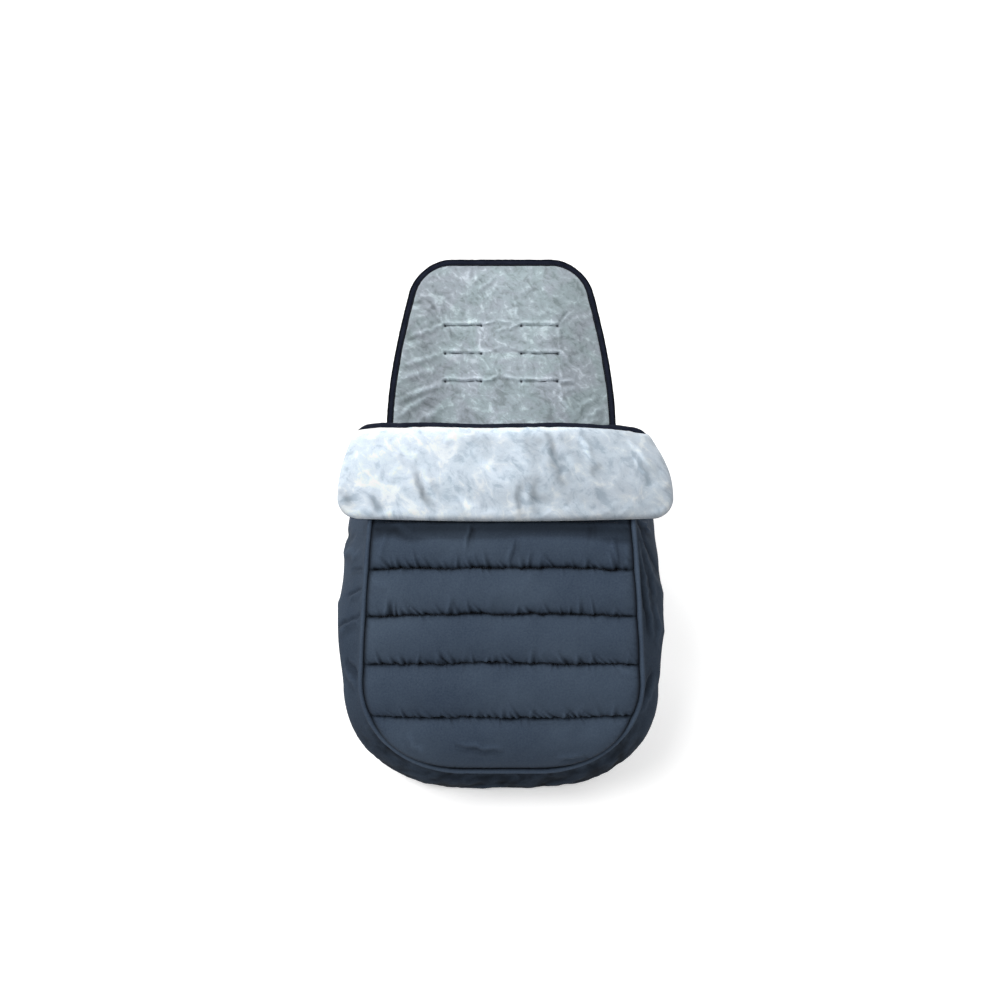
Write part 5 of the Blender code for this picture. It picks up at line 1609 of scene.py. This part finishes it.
def cuff_relief(x, down, inside):
    """(relief, shade): lumps, brushed waves and creases in the plush, strokes of its own tone, and
    painted light and shade: on folds and hollows, lighter on the left and along the top, darker on
    the right and at the lower rim.
    """
    lumps = 0.0026 * layered(x / 0.085, down / 0.060, 101, 2)
    lumps += 0.0012 * layered(x / 0.030, down / 0.026, 102)
    brushed = 0.0006 * crests(x / 0.018 + down / 0.030, down / 0.022 - x / 0.05, 103)
    pile = 0.0003 * noise((x + down) / 0.0070, (x - down) / 0.0064, 104)
    edge = 0.0014 * crests((x + down) / 0.020, down / 0.030, 106) * bell(inside - 0.008, 0.008)
    folded, shade = folds(x, down, CUFF_FOLDS)
    body = lumps + brushed + folded
    relief = body * smooth(inside / 0.018) + edge * smooth(inside / 0.004)
    # Painted shade in the hollows and painted light on the crests, with the plush's own lighter and
    # darker strokes.
    shade = shade + 0.08 * hollows(relief, 6, 0.0012) + 1.5 * strokes(x, down, CUFF_STROKES)
    places = (-0.235, -0.17, -0.11, -0.05, 0.02, 0.08, 0.14, 0.235)
    # Painted light on the left and painted shade on the right, as the key light falls from the
    # left.
    shade = shade + np.interp(x, places, (-0.16, -0.24, -0.18, -0.06, -0.02, 0.07, 0.09, 0.13))
    # Painted light along the top edge; painted shade on the lower rim and painted light just inside
    # it.
    top = bell(down - CUFF_PLUSH_START, 0.016) * (1 - smooth((x - 0.06) / 0.10))
    low = smooth((down - 0.100) / 0.02)
    rim = 0.10 * bell(inside, 0.0020) - 0.14 * bell(inside - 0.006, 0.005)
    shade = shade - 0.50 * top + low * rim
    # Darker towards the lower edge.
    shade = shade + 0.13 * smooth((down - 0.080) / 0.030)
    return relief + pile * smooth(inside / 0.002), shade


def make_cuff_plush(material):
    x, down, inside = cuff_grid(0.0021, 110, CUFF_PLUSH_START)
    base = cuff_base(x, down)
    roll = CUFF_ROLL - 0.015 * smooth((down - 0.080) / 0.035)
    tallest = CUFF_THICKNESS - 0.0030 - 0.013 * smooth((down - 0.050) / 0.080)
    thick = 0.0030 + tallest * quarter(inside / roll) ** 0.9
    relief, shade = cuff_relief(x, down, inside)
    face = apron_point(x, down, base + thick + relief)
    back = apron_point(x, down, base + SHELL + GAP)
    obj = closed_panel("cuff_plush", face, back, 3, material, (x, down), shade)
    dress(obj, "cuff", "plush_light_grey", "cuff_plush_face", "cuff_wadding")


def make_cuff_backing(material):
    x, down, inside = cuff_grid(0.0050, 60, CUFF_START)
    wave = np.abs(0.0005 * layered(x / 0.05, down / 0.04, 111)) * smooth(inside / 0.01)
    base = cuff_base(x, down) + wave
    face = apron_point(x, down, base)
    back = apron_point(x, down, base + SHELL)
    obj = closed_panel("cuff_back", face, back, 3, material, (x, down))
    dress(obj, "cuff", "shell_fabric", "cuff_backing")


def make_cuff_fold(material):
    """The rolled edge of the cuff's backing, which shows along the fold."""
    rows = turned(CUFF_TOP_CORNER, 14)[1:]
    top = np.linspace(-1, 1, 150) * float(cuff_half_width(0.0, 1))
    left = [(-float(cuff_half_width(row, -1)), row) for row in rows[::-1]]
    right = [(float(cuff_half_width(row, 1)), row) for row in rows]
    x, down = np.array([*left, *((x, 0.0) for x in top), *right]).T
    down = down + CUFF_START
    points = apron_point(x, down - 0.0025, cuff_base(x, down) + 0.0034)
    step = 0.0022
    points, out, up = resampled(points, *apron_ways(down), step=step)
    along = np.arange(len(points)) * step
    swell = 1 + ripples(along, 0.06, 0.009, 0.12, (122, 121))
    taper = 0.35 + 0.65 * smooth(np.minimum(along, along[-1] - along) / 0.02)
    section = [(0.0062 * c - 0.0015, 0.0034 * s) for c, s in circle(14)]
    rings = rings_along(points, out, up, section)
    rings = points[:, None] + (rings - points[:, None]) * (swell * taper)[:, None, None]
    dress(tube("cuff_fold_edge", rings, material, 0.03), "cuff", "shell_fabric")


# Stage

def add_floor(height):
    """A white floor. Only what looks at it sees it white, so it casts little light up."""
    size = 30
    corners = ((-1, -1), (1, -1), (1, 1), (-1, 1))
    s = Shader("floor_white")
    seen = s.seen_by("Camera", "Glossy", "Transmission")
    tone = s.ranged(s.noise(s.object_place(), 3, 2, 0.5), 0.3, 0.7, 0.93, 0.95)
    colour = s.blend(seen, (0.45, 0.45, 0.45, 1), s.grey(tone))
    material = s.finish(
        Base_Color=colour,
        Roughness=0.9,
        Emission_Color=(1, 1, 1, 1),
        Emission_Strength=s.maths("MULTIPLY", seen, 0.40),
    )
    mesh = bpy.data.meshes.new("floor")
    mesh.from_pydata([(size * x, size * y, height) for x, y in corners], [], [(0, 1, 2, 3)])
    mesh.materials.append(material)
    linked("floor", mesh)


def add_world(strength):
    """Light from all round, which the camera and the reflections see as white."""
    s = Shader("studio", bpy.data.worlds, "Background")
    level = s.ranged(s.seen_by("Camera", "Glossy"), 0, 1, strength, 1)
    bpy.context.scene.world = s.finish(Color=(1, 1, 1, 1), Strength=level)


def add_sun(name, way, strength, angle):
    lamp = bpy.data.lights.new(name, "SUN")
    lamp.energy = strength
    lamp.angle = math.radians(angle)
    linked(name, lamp).rotation_euler = Vector(way).to_track_quat("Z", "Y").to_euler()


def make_stage():
    bpy.context.scene.view_settings.view_transform = "Standard"
    add_sun("key_sun", (-0.55, -0.15, 1.0), 1.75, 35)
    add_sun("fill_sun", (0.5, -0.9, 0.9), 0.35, 60)
    add_sun("rim_sun", (-0.35, 1.0, 0.50), 1.10, 40)
    add_world(0.42)
    add_floor(SOLID_BOX[0].z - 0.001)
    camera = bpy.data.cameras.new("camera")
    camera.lens = LENS
    camera.sensor_width = SENSOR
    obj = linked("camera", camera)
    obj.location = CAMERA_PLACE
    obj.rotation_euler = (CAMERA_PITCH, 0, 0)
    bpy.context.scene.camera = obj


def dress_metal(nodes, metal):
    """Sliders, tabs and stops keep their solids, with softened edges and black paint."""
    for name, obj in nodes.items():
        if name.startswith(("slider_", "pull_tab_", "zip_stop_")):
            obj.data.materials.clear()
            obj.data.materials.append(metal)
            bevel = obj.modifiers.new("soft_edges", "BEVEL")
            bevel.width = 0.00025
            bevel.segments = 2
            bevel.limit_method = "ANGLE"
            bevel.angle_limit = math.radians(35)


def make_bag():
    shell = shell_material()
    # The pad's plush is a darker grey than the cuff's: partly its own colour and partly painted
    # shade, for the pad lies in shade.
    plush = plush_material(
        "pad_plush_cloth",
        ((144, 155, 161), (174, 186, 195), (212, 225, 234)),
        ((0.96, 1.0, 0.96, 1), (1.0, 0.97, 0.975, 1)),
        25,
        (0.38, 0.63),
        (0.46, 0.42, 0.12),
    )
    pale = plush_material(
        "cuff_plush_cloth",
        ((184, 199, 213), (214, 226, 238), (239, 246, 251)),
        ((0.985, 1.0, 1.0, 1), (1.0, 1.0, 1.0, 1)),
        17,
        (0.39, 0.61),
        (0.50, 0.42, 0.08),
    )
    tape = tape_material()
    thread = thread_material()
    make_pad_plush(plush)
    make_pad_shell(shell)
    make_slot_bartacks(thread)
    make_pad_binding(tape, thread)
    make_gusset(shell, plush, tape)
    make_apron_quilt(shell, thread)
    make_apron_lining(plush)
    make_apron_binding(tape)
    make_piping(shell, thread)
    for make, material in ((make_coil, coil_material()), (make_zip_tape, zip_tape_material())):
        make("apron", material)
        make("gusset", material)
    make_cuff_plush(pale)
    make_cuff_backing(shell)
    make_cuff_fold(tape)
    dress_metal(frame["nodes"], metal_material())


make_stage()
make_bag()
